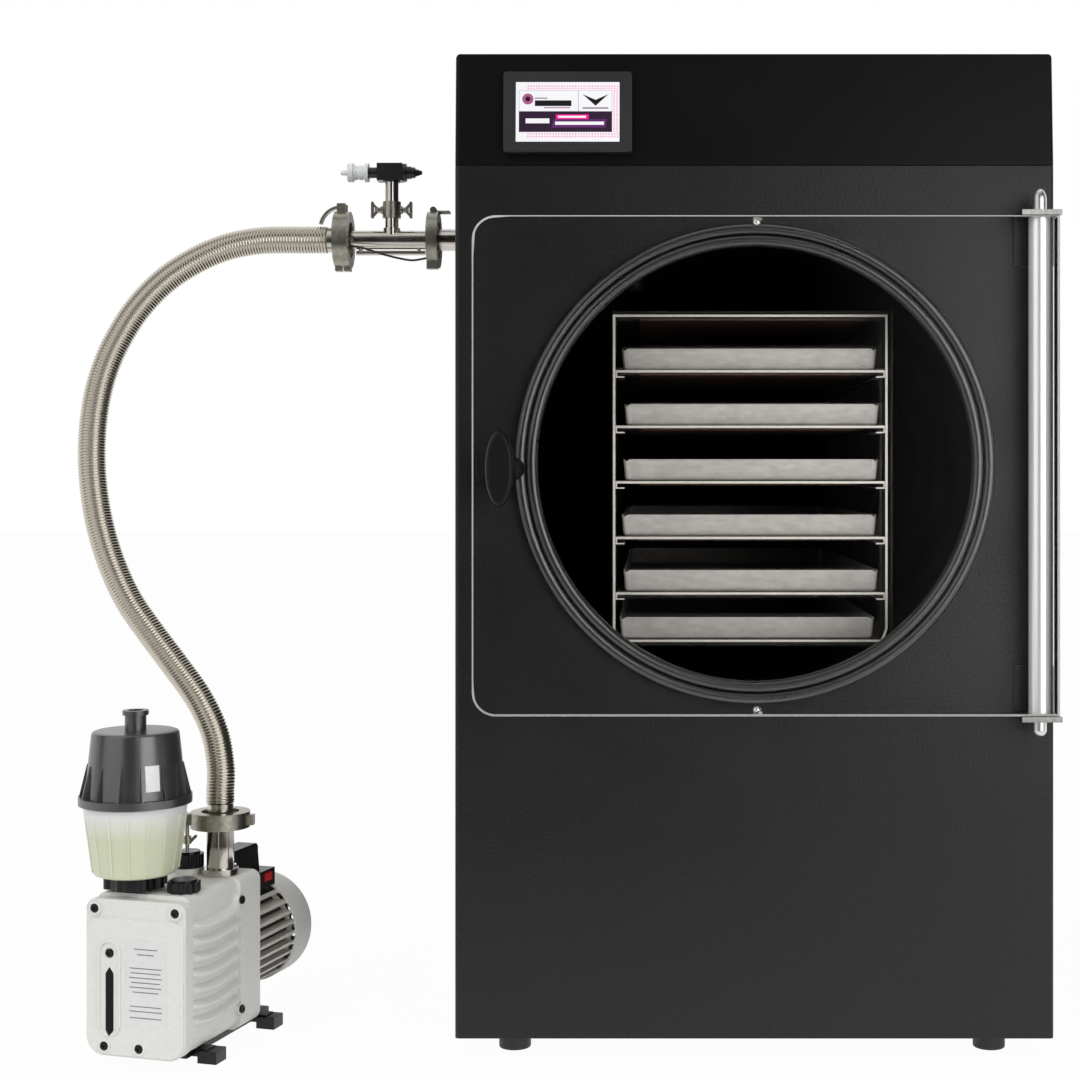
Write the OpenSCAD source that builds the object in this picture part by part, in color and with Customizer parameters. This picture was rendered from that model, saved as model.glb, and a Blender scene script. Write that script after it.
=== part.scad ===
// Freeze dryer with vacuum pump. The frame's origin is the centre of the footprint on the floor,
// +Z up, -Y towards the person who stands at the door.

/* [Cabinet] */
// Width of the cabinet
cab_w = 514; // [500:1:600]
// Depth of the cabinet
cab_d = 660; // [655:1:760]
// Height of the cabinet above its feet
cab_h = 846; // [820:1:940]
// Thickness of the sheet steel
sheet = 1.5; // [1:0.1:2.5]
// Radius of the cabinet's outer bends
bend_r = 4; // [3:0.5:8]
// Height of the top band that carries the display
fascia_h = 97; // [90:1:125]
// Lean of the top band, in degrees
fascia_lean = 4; // [0:0.5:6]
// Height of the cabinet's feet
foot_h = 18; // [12:1:40]
// Radius of the cabinet's feet
foot_r = 14; // [10:1:20]
// Distance from a foot's centre to the cabinet's sides
foot_inset = 49; // [30:1:80]

/* [Display] */
// Width of the display's housing
display_w = 110; // [90:1:150]
// Height of the display's housing
display_h = 70; // [60:1:80]
// How far the display's housing stands out
display_t = 8; // [6:0.5:14]
// Width of the black frame around the screen
display_rim = 9; // [5:0.5:14]
// Distance from the cabinet's left side to the display's centre
display_in = 97; // [80:1:200]

/* [Chamber] */
// Distance from the top band's lower edge to the chamber's axis
chamber_down = 256; // [245:1:280]
// Distance from the cabinet's side to the drum
side_room = 55.2; // [48:0.1:70]
// Wall of the chamber drum
drum_wall = 3; // [2:0.5:4]
// Free length of the drum behind the rack
drum_back = 22; // [18:1:24]
// Thickness of the insulation around the drum
foam_t = 32; // [20:1:40]
// Air between the insulation and the back panel
back_air = 6.3; // [4:0.1:30]

/* [Rack and trays] */
// Width of a tray at its rim
tray_w = 228.6; // [215:0.1:230]
// Length of a tray
tray_l = 520.7; // [480:0.1:524]
// Height of a tray
tray_h = 19.5; // [15:0.5:25]
// Wall of a tray
tray_wall = 1.2; // [0.8:0.1:2]
// How far a tray's sides lean out from floor to rim
tray_flare = 1.6; // [0.5:0.1:3]
// Height of the lowest tray space
low_space = 44.5; // [40:0.1:50]
// Gap between the rack's upper corners and the drum
rack_gap = 17.3; // [8:0.1:25]
// Sheet of the rack and its shelves
rack_t = 2.2; // [1.5:0.1:3]
// Clearance between a tray and the rack's sides
tray_side = 6.2; // [4:0.1:9]
// Thickness of the heater pads
pad_t = 1.4; // [1:0.1:2.5]

/* [Door] */
// Distance from the cabinet's left side to the door's edge
door_in = 18; // [8:1:30]
// How far the clear door reaches past the seal, above and below
door_over = 4.9; // [3:0.1:20]
// Thickness of the clear door
door_t = 25; // [20:1:30]
// Radius of the door's two outer corners
door_r = 20; // [10:1:40]
// How far the seal stands out of the front panel
seal_out = 13; // [11:0.5:18]
// Radius of the hinge rod
rod_r = 6; // [5:0.1:8]
// Distance from the hinge rod's axis to the door's edge
hinge_in = 15; // [13:0.5:20]
// Thickness of the hinge brackets
bracket_t = 4.5; // [3:0.5:6]
// Height of the door's turning handle
knob_h = 63; // [50:1:80]
// Width of the door's turning handle
knob_w = 24; // [18:1:30]
// Distance from the handle's axis to the door's edge
knob_in = 24.4; // [22:0.1:30]

/* [Vacuum line] */
// Distance from the front panel to the vacuum line
line_in = 120; // [110:1:140]
// Height of the vacuum line above the drum, where its tube turns down into it
line_over = 34.67; // [30:0.01:45]
// Outer radius of the tee's pipe
tee_r = 8.75; // [7:0.25:11]
// Outer radius of the port tube
port_r = 10; // [8:0.25:12]
// Radius of the tee's upright branch
branch_r = 6.2; // [5:0.1:8]
// Height of the upright branch above the line
branch_h = 53; // [50:1:80]
// Radius of the vacuum flanges
flange_r = 20; // [18:0.5:22]
// Outer radius of the ring clamps
clamp_r = 26; // [25:0.5:30]
// Radius of the bellows hose
hose_r = 12.5; // [10:0.5:14]

/* [Pump] */
// Width of the pump's oil case
case_w = 88; // [80:1:100]
// Length of the finned part of the oil case
case_l = 88; // [80:1:110]
// Height of the oil case above its base
case_h = 135; // [125:1:150]
// Thickness of the oil case's front cover
cover_t = 12; // [8:0.5:16]
// How far the curved ribs stand out of the oil case
rib_out = 6; // [3:0.5:8]
// Distance from one curved rib to the next
rib_pitch = 13.5; // [11:0.5:16]
// Length of the collar behind the oil case
collar_l = 30; // [20:1:40]
// Radius of the motor over its fins
motor_r = 47; // [42:1:50]
// Length of the finned motor
motor_l = 70; // [60:1:100]
// Length of the motor's fan cover
fan_cover_l = 38; // [34:1:50]
// Height of the pump's base
base_h = 12; // [10:1:20]
// Turn of the pump on the floor, in degrees
pump_yaw = 16; // [0:1:30]

/* [Oil mist filter] */
// Radius of the filter bowl at its rim
bowl_r = 43.5; // [36:0.5:50]
// Height of the filter bowl
bowl_h = 60; // [50:1:80]
// Height of the filter's dome above the bowl
dome_h = 62; // [50:1:80]
// Wall of the bowl and the dome
filter_wall = 2.5; // [1.5:0.5:4]
// Outer radius of the exhaust nozzle
nozzle_r = 9; // [7:0.5:12]

/* [Hidden] */
$fn = 64;
e = 1; // overlap of a cutting shape past the face it cuts

// Clearances
seam = 0.3; // between pieces that are screwed together
seat = 0.1; // under a piece that stands on another
run = 0.06; // radial, of a pin that turns in its hole
skim = 0.02; // keeps two cutting faces from lying in one plane

// Place of the cabinet: centre of its front panel's lower edge on the floor
cab_left = -97;
cab_at = [cab_left + cab_w / 2, -300];
cab_top = foot_h + cab_h;
fascia_z = cab_top - fascia_h;
pan_d = 18; // depth of the folded sides of the front panel and the top band
chamber_z = fascia_z - chamber_down;

// Drum, worked out from the cabinet
drum_ro = cab_w / 2 - side_room;
drum_ri = drum_ro - drum_wall;
drum_bend = 12; // radius between the drum's wall and its back
rim_y = -2; // front of the drum's rim

// Rack: its lower corners rest in the drum, and its shelves share the height that is left
tray_count = 6;
rack_hw = tray_w / 2 + tray_side + rack_t;
rack_low_hw = tray_w / 2 + 4.5;
rack_drop = sqrt(pow(drum_ri - 0.5, 2) - pow(rack_low_hw, 2));
rack_rise = sqrt(pow(drum_ri - rack_gap, 2) - pow(rack_hw, 2));
rack_top = chamber_z + rack_rise;
rack_bottom = chamber_z - rack_drop;
shelf_pitch = (rack_top - rack_bottom - low_space) / (tray_count - 1);
rack_knee = 12; // height of the slanted lower corners
hem_w = 8; // of the fold under a shelf's ends
hem_h = 4.6;
hem_t = 1.3;
rack_l = tray_l + 8;
rack_y = cab_d - sheet - back_air - foam_t - drum_wall - 0.5 - drum_back - rack_l;
tray_y = rack_y + 6;
tray_r = 5;
tray_shift = [-0.5, 2, 1, -0.5, 1, -2.5]; // how far each tray was pushed in off the middle
pad_w = tray_w - 30;

// Chamber's length, seal and insulation
drum_l = rack_y + rack_l + drum_back - rim_y;
seal_ro = drum_ro + 3.3;
seal_ri = drum_ri - 13.3;
panel_hole_r = seal_ro + 0.7;
drum_flange_w = 24;
foam_ri = drum_ro + seam;
foam_ro = foam_ri + foam_t;
foam_y = 24;
foam_end = rim_y + drum_l + drum_wall + 0.5;

// Door
door_back = -seal_out - seam;
door_front = door_back - door_t;
door_mid = (door_back + door_front) / 2;
door_x0 = -cab_w / 2 + door_in;
door_x1 = cab_w / 2 - 3;
door_w = door_x1 - door_x0;
door_h = 2 * (seal_ro + door_over);
door_z0 = chamber_z - 2 - door_h / 2;
door_z1 = door_z0 + door_h;
hinge_x = door_x1 - hinge_in;
ear_gap = 0.5; // between the door's edge and a bracket's ear
rod_over = 19; // how far the rod stands out past a bracket
rod_z0 = door_z0 - ear_gap - bracket_t - rod_over + 6;
rod_z1 = door_z1 + ear_gap + bracket_t + rod_over;
knob_x = door_x0 + knob_in;
knob_z = chamber_z - 4.4;
shaft_r = 5;
cam_reach = 17.5; // from the shaft's axis to the tip of the latch's tongue
cam_hub_r = 9;
cam_t = 3.2;
cam_y = door_back + 4.9;
notch_h = 21; // height of the notch in the seal beside the latch

// Vacuum line, along -X from the cabinet's left side
port_drop_x = -cab_w / 2 + 152; // where the port tube turns down into the drum
line_z = chamber_z + sqrt(pow(drum_ro, 2) - pow(port_drop_x, 2)) + line_over;
port_x = -cab_w / 2 - 31.6; // joint of the port tube and the tee
branch_x = port_x - 38.9;
hose_joint_x = port_x - 83.4;
flange_t = 1.6;
flange_gap = 0.15;
stub_l = 14; // of a hose end
branch_top = line_z + branch_h;
clamp_mid = line_z + 27.6; // height of the branch's clamp
valve_z = line_z + 62;
bail_x = hose_joint_x - 1.2;
bail_z = line_z + clamp_r + 4.4;
bail_pin_r = 1.5;
bail_arc_r = 20;
bail_w = 8;

// Pump, in its own frame: x across, y back from the front cover, z up
inlet_at = [-311, -243]; // the inlet's axis on the floor, which places the pump
inlet_x = 22.7;
inlet_y = 102;
case_z = base_h + seat;
case_top = case_z + case_h;
collar_y = cover_t + case_l;
motor_y = collar_y + collar_l;
motor_z = base_h + 63;
cover_y = motor_y + motor_l;
collar_w = case_w + 6;
rib_count = 7;
rib_z = case_z + 31;
inlet_joint_z = case_top + 49;
inlet_r = 12;
oil_cap_at = [28, 30];
ballast_at = [-8.5, 101];
filter_at = [-16, 26];
plug_r = 9;
plug_h = 8;
motor_shaft_r = 5;
handle_x = 12; // middle of the carrying handle
switch_y = cover_y - 16;

// Filter, stacked on the oil case
nut_z = case_top + 0.2;
bowl_z = nut_z + 14;
dome_z = bowl_z + bowl_h + seam;
nozzle_z = dome_z + dome_h;

// Inside the cabinet
floor_t = 2.5;
floor_z = foot_h + floor_t;
room_z = chamber_z - foam_ro; // underside of the insulation
compressor_at = [-cab_w / 2 + 127, cab_d - 360];
compressor_h = room_z - 78 - floor_z;
condenser_h = room_z - 66 - floor_z;
condenser_w = 190;
condenser_d = 44;
fan_x = cab_w / 2 - 147;
fan_y = cab_d - 42;
fan_z = floor_z + seat + condenser_h / 2;
fan_r = condenser_h / 2 - 17;
fan_shaft_r = 3;
fan_motor_y = fan_y - 36;
condenser_y = fan_motor_y - 12 - condenser_d;
post_y = condenser_y - 30; // of the posts that carry the chamber's back end
socket_x = -cab_w / 2 + 87; // opening for the mains socket
louvre_y = cab_d - 240;
louvre_l = 120;

// Routes of the bellows hose and of the earth lead, chosen by hand; the hose's upper end follows
// the vacuum line
hose_plan = [
    [-226, -180, 718], [-246, -180, 718], [-292, -180, 717], [-331, -182, 707], [-370, -186, 684],
    [-398, -190, 655], [-417, -194, 623], [-428, -198, 594], [-434, -202, 564], [-436, -206, 531],
    [-434, -210, 497], [-427, -215, 460], [-415, -220, 424], [-398, -225, 390], [-377, -229, 361],
    [-354, -233, 332], [-332, -237, 303], [-317, -240, 273], [-311, -242, 243], [-311, -243, 220],
    [-311, -243, 211]
];
hose_lift = line_z - hose_plan[0].z;
hose_route = [for (i = [0:len(hose_plan) - 1])
    hose_plan[i] + [0, 0, hose_lift * (1 - i / (len(hose_plan) - 1))]];
lead_plan = [
    [-203, -192, 711], [-195, -192, 710], [-185, -192, 707], [-172, -192, 703], [-160, -192, 700],
    [-148, -192, 698], [-139, -192, 699], [-134, -192, 700]
];
lead_route = [for (p = lead_plan) p + [0, 0, hose_lift]];
lead_r = 1;

// Frames and outlines

module at_cabinet() {
    translate([cab_at.x, cab_at.y, 0]) children();
}

module at_fascia() {
    at_cabinet() translate([0, 0, fascia_z]) rotate([-fascia_lean, 0, 0]) children();
}

module at_pump() {
    translate([inlet_at.x, inlet_at.y, 0]) rotate([0, 0, -pump_yaw]) translate([-inlet_x, -inlet_y, 0])
        children();
}

// Stands a front view's outline up and gives it depth d from y on back
module front_slab(y, d) {
    translate([0, y + d, 0]) rotate([90, 0, 0]) linear_extrude(d) children();
}

// Stands a side view's outline up and gives it width w from x on to the right
module side_slab(x, w) {
    translate([x, 0, 0]) rotate([90, 0, 90]) linear_extrude(w) children();
}

// Turns a profile of radius and length about an axis that runs back, right or up
module turned_y(p) {
    translate(p) rotate([-90, 0, 0]) rotate_extrude() children();
}

module turned_x(p) {
    translate(p) rotate([0, 90, 0]) rotate_extrude() children();
}

module rod_y(p, r, l) {
    translate(p) rotate([-90, 0, 0]) cylinder(r = r, h = l);
}

module rod_x(p, r, l) {
    translate(p) rotate([0, 90, 0]) cylinder(r = r, h = l);
}

// Upright plate outline that stands on y = 0, with its own top and bottom corner radii
module plate(w, h, rt, rb) {
    translate([-w / 2, rb]) square([w, h - rt - rb]);
    if (rt > 0) {
        translate([-w / 2 + rt, h - 2 * rt]) square([w - 2 * rt, 2 * rt]);
        for (s = [-1, 1]) translate([s * (w / 2 - rt), h - rt]) circle(rt);
    }
    if (rb > 0) {
        translate([-w / 2 + rb, 0]) square([w - 2 * rb, 2 * rb]);
        for (s = [-1, 1]) translate([s * (w / 2 - rb), rb]) circle(rb);
    }
}

// Rounded rectangle about the origin
module rounded(w, h, r) {
    translate([0, -h / 2]) plate(w, h, r, r);
}

// Round-ended bar from a to b
module bar(a, b, r) {
    l = norm(b - a);
    translate(a) rotate(atan2(b.y - a.y, b.x - a.x)) {
        translate([0, -r]) square([l, 2 * r]);
        circle(r);
        translate([l, 0]) circle(r);
    }
}

function shelf_top(k) =
    k == 0 ? rack_top : k < tray_count ? rack_top - k * shelf_pitch : rack_bottom + rack_t;

// Tube swept along a route: a ring of points stands square to the route at each of its points
function route_dir(p, i) =
    let (d = p[min(i + 1, len(p) - 1)] - p[max(i - 1, 0)]) d / norm(d);

function ring_at(p, i, r, sides) =
    let (
        t = route_dir(p, i),
        u = cross([0, 1, 0], t),
        a = u / norm(u),
        b = cross(t, a)
    )
    [for (k = [0:sides - 1]) p[i] + r * (a * cos(360 * k / sides) + b * sin(360 * k / sides))];

module tube_along(p, r, sides) {
    n = len(p);
    rings = [for (i = [0:n - 1]) each ring_at(p, i, r, sides)];
    walls = [for (i = [0:n - 2], k = [0:sides - 1])
        let (j = (k + 1) % sides)
        [i * sides + k, (i + 1) * sides + k, (i + 1) * sides + j, i * sides + j]];
    first = [for (k = [0:sides - 1]) k];
    last = [for (k = [sides - 1:-1:0]) (n - 1) * sides + k];
    polyhedron(rings, concat(walls, [first, last]), convexity = 10);
}

// Cabinet

module pan_outline(inset, depth) {
    w = cab_w - 2 * inset;
    r = bend_r - inset;
    translate([0, inset]) intersection() {
        translate([0, w / 2]) rounded(w, w, r);
        translate([-w / 2, 0]) square([w, depth - inset]);
    }
}

module front_panel() {
    h = fascia_z - foot_h - seam;
    color("#26262a") at_cabinet() difference() {
        translate([0, 0, foot_h]) linear_extrude(h) pan_outline(0, pan_d);
        translate([0, 0, foot_h - e]) linear_extrude(h + 2 * e) pan_outline(sheet, pan_d + e);
        rod_y([0, -e, chamber_z], panel_hole_r, pan_d + 2 * e);
    }
}

module fascia_block(inset, depth, below) {
    w = cab_w - 2 * inset;
    tall = fascia_h + 4 * bend_r;
    intersection() {
        rotate([-fascia_lean, 0, 0]) translate([0, 0, -tall]) linear_extrude(2 * tall)
            pan_outline(inset, 3 * pan_d);
        translate([0, 0, -below]) front_slab(-pan_d, pan_d + depth)
            plate(w - 2 * skim, fascia_h - inset + below, bend_r - inset, 0);
    }
}

module control_fascia() {
    color("#0c0c0d") at_cabinet() translate([0, 0, fascia_z]) difference() {
        fascia_block(0, pan_d, 0);
        fascia_block(sheet, pan_d + e, e);
    }
}

module cabinet_wrap() {
    y0 = pan_d + seam;
    l = cab_d - sheet - seam - y0;
    louvre_pitch = 16;
    color("#2b2b2f") at_cabinet() difference() {
        translate([0, 0, foot_h]) front_slab(y0, l) difference() {
            plate(cab_w, cab_h, bend_r, 0);
            translate([0, -e]) plate(cab_w - 2 * sheet, cab_h - sheet + e, bend_r - sheet, 0);
        }
        rod_x([-cab_w / 2 - e, line_in, line_z], port_r + 2, 2 * e + sheet);
        for (z = [floor_z + 60:louvre_pitch:room_z - 70])
            translate([cab_w / 2 - sheet - e, louvre_y, z]) cube([sheet + 2 * e, louvre_l, 5]);
    }
}

// Fan grille: level slots cut to a round outline
module grille_slots(r, pitch, slot) {
    for (z = [-r + pitch:pitch:r - pitch / 2])
        let (half = sqrt(r * r - z * z))
            if (half > 2 * slot)
                for (s = [-1, 1])
                    bar([s * slot, z], [s * (half - slot / 2), z], slot / 2);
}

module back_panel() {
    color("#2b2b2f") at_cabinet() difference() {
        translate([0, 0, foot_h]) front_slab(cab_d - sheet, sheet) plate(cab_w, cab_h, bend_r, 0);
        translate([0, 0, fan_z]) front_slab(cab_d - sheet - e, sheet + 2 * e) translate([fan_x, 0])
            grille_slots(fan_r, 11, 6);
        translate([0, 0, fan_z]) front_slab(cab_d - sheet - e, sheet + 2 * e)
            translate([socket_x, 0]) rounded(48, 28, 3);
    }
}

// Floor plate with rails round it, which the wrap is screwed to, and two posts that carry the
// chamber's back end
module base_frame() {
    w = cab_w - 2 * sheet - 2 * seam;
    y0 = pan_d + seam;
    l = cab_d - sheet - seam - y0;
    rail_h = 20;
    rail_z = floor_z + seat;
    post_in = 0.42 * foam_ro;
    post_out = 0.72 * foam_ro;
    color("#8b8d90") at_cabinet() {
        translate([-w / 2, y0, foot_h]) cube([w, l, floor_t]);
        for (s = [0, 1]) mirror([s, 0, 0]) translate([-w / 2, y0, rail_z]) cube([floor_t, l, rail_h]);
        for (y = [y0, y0 + l - floor_t])
            translate([-w / 2 + floor_t + seat, y, rail_z])
                cube([w - 2 * floor_t - 2 * seat, floor_t, rail_h]);
        for (s = [0, 1]) mirror([s, 0, 0]) front_slab(post_y, 4) difference() {
            translate([post_in, rail_z]) square([post_out - post_in, chamber_z - floor_z]);
            translate([0, chamber_z]) circle(foam_ro + seam);
            translate([0, chamber_z - 0.5 * foam_ro]) square(foam_ro);
        }
    }
}

module cabinet_feet() {
    front = pan_d + foot_r + 7;
    back = cab_d - foot_inset;
    h = foot_h - seat;
    color("#1a1a1b") at_cabinet() for (s = [-1, 1], y = [front, back])
        translate([s * (cab_w / 2 - foot_inset), y, 0]) rotate_extrude() difference() {
            square([foot_r, h]);
            square([4, 3]);
            translate([foot_r - 1.5, -1]) polygon([[0, 0], [3, 0], [3, 3.5]]);
        }
}

module display_housing() {
    z = fascia_h / 2 - 4;
    color("#17171a") at_fascia() translate([display_in - cab_w / 2, 0, z]) difference() {
        front_slab(-display_t - seat, display_t) rounded(display_w, display_h, 3);
        front_slab(-display_t - seat - e, 3 + e)
            rounded(display_w - 2 * display_rim - 2, display_h - 2 * display_rim + 1, 1.5);
    }
}

module display_glass() {
    z = fascia_h / 2 - 4;
    w = display_w - 2 * display_rim - 2 - 2 * seam;
    h = display_h - 2 * display_rim + 1 - 2 * seam;
    color("#f4f2f4") at_fascia() translate([display_in - cab_w / 2, 0, z])
        front_slab(-display_t - seat + 0.6, 2.3) rounded(w, h, 1.2);
}

// Chamber

module chamber_drum() {
    color("#0b0b0c") at_cabinet() difference() {
        turned_y([0, 0, chamber_z]) {
            difference() {
                drum_outline(drum_ro, drum_l + drum_wall, drum_bend + drum_wall);
                drum_outline(drum_ri, drum_l, drum_bend);
                translate([-e, rim_y - e]) square([drum_ri + e, drum_l / 2]);
            }
            translate([drum_ro - drum_wall / 2, sheet + seam]) square([drum_flange_w, 2]);
        }
        translate([port_drop_x, line_in, chamber_z]) cylinder(r = port_r + seam, h = 2 * drum_ro);
    }
}

// Half section of a round can from the rim back, with its back corner rounded
module drum_outline(r, l, bend) {
    translate([0, rim_y]) {
        square([r, l - bend]);
        square([r - bend, l]);
        translate([r - bend, l - bend]) circle(bend);
    }
}

module chamber_insulation() {
    color("#d8c9a0") at_cabinet() difference() {
        turned_y([0, 0, chamber_z]) difference() {
            translate([0, foam_y]) square([foam_ro, foam_end + foam_t - foam_y]);
            translate([0, foam_y - e]) square([foam_ri, foam_end - foam_y + e]);
        }
        translate([port_drop_x, line_in, chamber_z])
            cylinder(r = port_r + 6, h = line_z - chamber_z + 2 * foam_t);
        rod_x([-foam_ro - e, line_in, line_z], port_r + 4, foam_ro + port_drop_x + 2 * e);
    }
}

module door_gasket() {
    lobe_r = 5;
    slot_y = rim_y - seam;
    w = seal_ro - seal_ri;
    color("#111112") at_cabinet() difference() {
        turned_y([0, 0, chamber_z]) difference() {
            union() {
                translate([seal_ri, -seal_out + lobe_r]) square([w, seal_out - lobe_r + slot_y]);
                for (r = [seal_ri + lobe_r, seal_ro - lobe_r])
                    translate([r, -seal_out + lobe_r]) circle(lobe_r);
                translate([drum_ri - 3.5, slot_y - 1]) square([seal_ro - drum_ri + 3.5, sheet - slot_y + 1]);
            }
            translate([drum_ri - seam, slot_y]) square([drum_wall + 2 * seam, 20]);
            translate([0, -0.5]) square([drum_ri, 20]);
        }
        translate([0, 0, knob_z]) front_slab(-seal_out - e, e + seal_out + cam_y + cam_t + 0.8)
            bar([knob_x, 0], [knob_x + cam_reach - notch_h / 2 + 0.7, 0], notch_h / 2);
    }
}

// Rack and trays

function rack_outline(t) = [
    [-rack_hw + t, rack_top - t], [rack_hw - t, rack_top - t],
    [rack_hw - t, rack_bottom + rack_knee], [rack_low_hw - t, rack_bottom + t],
    [-rack_low_hw + t, rack_bottom + t], [-rack_hw + t, rack_bottom + rack_knee]
];

module rack_frame() {
    color("#b9b9b6") at_cabinet() front_slab(rack_y, rack_l) difference() {
        polygon(rack_outline(0));
        polygon(rack_outline(rack_t));
    }
}

// Shelf plates, each with a folded hem under its ends
module shelves() {
    hw = rack_hw - rack_t - seam;
    color("#b9b9b6") at_cabinet() for (k = [1:tray_count - 1])
        translate([0, 0, shelf_top(k)]) front_slab(rack_y + 0.5, rack_l - 1) {
            translate([-hw, -rack_t]) square([2 * hw, rack_t]);
            for (s = [0, 1]) mirror([s, 0]) {
                translate([hw - hem_t, -rack_t - hem_h]) square([hem_t, rack_t + hem_h]);
                translate([hw - hem_w, -rack_t - hem_h]) square([hem_w, hem_t]);
            }
        }
}

module heater_pads() {
    color("#5a2410") at_cabinet() for (k = [0:tray_count - 1])
        translate([0, tray_y + tray_l / 2, shelf_top(k) - rack_t - seat - pad_t])
            linear_extrude(pad_t) rounded(pad_w, tray_l - 20, 6);
}

module tray_shape(inset, z0, h) {
    for (side = [0, 1])
        translate([0, tray_l / 2, z0 + side * h]) linear_extrude(0.01)
            rounded(
                tray_w - 2 * inset - 2 * tray_flare * (1 - side),
                tray_l - 2 * inset - 2 * tray_flare * (1 - side),
                max(tray_r - inset, 1), $fn = 24);
}

module tray(k) {
    color("#c9c8c4") at_cabinet() translate([tray_shift[k - 1], tray_y, shelf_top(k) + seat]) difference() {
        hull() tray_shape(0, 0, tray_h);
        hull() tray_shape(tray_wall, tray_wall, tray_h);
    }
}

// Refrigeration

module compressor() {
    can_r = 76;
    dome_r = can_r + 4;
    plate_z = 8;
    plate_w = 2 * can_r - 2;
    plate_l = 120;
    pad_r = 11;
    color("#1c1c1e") at_cabinet() translate([compressor_at.x, compressor_at.y, floor_z + seat]) {
        rotate_extrude() {
            intersection() {
                translate([0, compressor_h - dome_r]) circle(dome_r);
                translate([0, plate_z]) square([can_r, compressor_h]);
            }
            translate([0, compressor_h / 2 + 6]) square([can_r + 3, 6]);
            translate([0, plate_z + 1]) square([can_r - 31, compressor_h - dome_r - plate_z]);
        }
        translate([-plate_w / 2, -plate_l / 2, plate_z]) cube([plate_w, plate_l, 4]);
        for (x = [-1, 1], y = [-1, 1])
            translate([x * (plate_w / 2 - pad_r - 2), y * (plate_l / 2 - pad_r - 2), 0])
                cylinder(r = pad_r, h = plate_z + 1);
    }
}

module condenser() {
    fins = 13;
    fin_t = 1.5;
    color("#9aa0a2") at_cabinet() translate([fan_x - condenser_w / 2, condenser_y, floor_z + seat]) {
        for (k = [0:fins - 1]) translate([k * (condenser_w - fin_t) / (fins - 1), 0, 0])
            cube([fin_t, condenser_d, condenser_h]);
        for (z = [22:36:condenser_h], y = [12, condenser_d - 12]) rod_x([0, y, z], 4, condenser_w);
        for (z = [0, condenser_h - 2]) translate([0, 0, z]) cube([condenser_w, condenser_d, 2]);
    }
}

// Motor on three arms, which are carried by rods from the back panel
module fan_motor() {
    ring_r = fan_r + 6;
    arm_y = fan_motor_y + 2;
    back = cab_d - sheet - seam;
    color("#202124") at_cabinet() translate([fan_x, 0, fan_z]) {
        rod_y([0, fan_motor_y, 0], 19, 30);
        rod_y([0, fan_y - 8, 0], fan_shaft_r, 28);
        for (a = [30:120:270]) rotate([0, a, 0]) {
            translate([0, arm_y, -3]) cube([ring_r + 3, 3, 6]);
            rod_y([ring_r, arm_y, 0], 3, back - arm_y);
        }
    }
}

module fan_rotor() {
    blade_w = 30;
    color("#303236") at_cabinet() translate([fan_x, fan_y, fan_z]) difference() {
        union() {
            rod_y([0, 0, 0], 17, 22);
            for (a = [0:60:300]) rotate([0, a, 0]) intersection() {
                translate([14, 11, 0]) rotate([38, 0, 0]) translate([0, -1, -blade_w / 2])
                    cube([fan_r, 2, blade_w]);
                rod_y([0, 0, 0], fan_r - 3, 22);
            }
        }
        rod_y([0, -e, 0], fan_shaft_r + run, 22 + 2 * e);
    }
}

// Door, hinge and latch

module door_outline() {
    w = door_w;
    h = door_h;
    translate([door_x0 + door_r, door_z0]) square([w - door_r, h]);
    translate([door_x0, door_z0 + door_r]) square([2 * door_r, h - 2 * door_r]);
    for (z = [door_z0 + door_r, door_z1 - door_r]) translate([door_x0 + door_r, z]) circle(door_r);
}

module door_glass() {
    color("#9fb4bd80") at_cabinet() difference() {
        front_slab(door_front, door_t) door_outline();
        translate([hinge_x, door_mid, door_z0 - e]) cylinder(r = rod_r + run, h = door_h + 2 * e);
        rod_y([knob_x, door_front - e, knob_z], shaft_r + run, door_t + 2 * e);
    }
}

module hinge_rod() {
    nose = 10;
    color("#d4d4d2") at_cabinet() translate([hinge_x, door_mid, rod_z0]) rotate_extrude() {
        intersection() {
            plate(2 * rod_r, rod_z1 - rod_z0 - nose, 0, rod_r - 0.5);
            square([rod_r, rod_z1 - rod_z0]);
        }
        translate([0, rod_z1 - rod_z0 - nose]) polygon([
            [0, 0], [rod_r, 0], for (a = [15:15:75]) [rod_r * cos(a), nose * sin(a)], [0, nose]
        ]);
    }
}

module hinge_brackets() {
    hole_r = rod_r + run;
    w = 2 * hinge_in + 4;
    plate_t = bracket_t - 1.5;
    flange_h = 44;
    color("#b8b8b4") at_cabinet() for (top = [0, 1]) {
        z = top == 1 ? door_z1 + ear_gap : door_z0 - ear_gap - bracket_t;
        difference() {
            translate([hinge_x - w / 2, door_front + 1, z]) cube([w, -door_front - 1 - seat, bracket_t]);
            translate([hinge_x, door_mid, z - e]) cylinder(r = hole_r, h = bracket_t + 2 * e);
        }
        translate([hinge_x - w / 2, -seat - plate_t, top == 1 ? z - flange_h + bracket_t : z])
            cube([w, plate_t, flange_h]);
    }
}

module knob_slice(y, d, grow) {
    front_slab(y, d) scale([(knob_w + grow) / knob_h, 1 + grow / knob_h]) circle(knob_h / 2, $fn = 48);
}

module door_knob() {
    color("#141415") at_cabinet() translate([knob_x, door_front, knob_z]) difference() {
        union() {
            hull() {
                knob_slice(-6.5, 0.5, -2);
                knob_slice(-13, 6, 0);
                knob_slice(-15.5, 0.5, -3);
                knob_slice(-16.5, 0.5, -8);
            }
            rod_y([0, -6.5, 0], 9, 6.5 - seam);
        }
        rod_y([0, -12, 0], shaft_r - 1 + seat, 20);
    }
}

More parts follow.
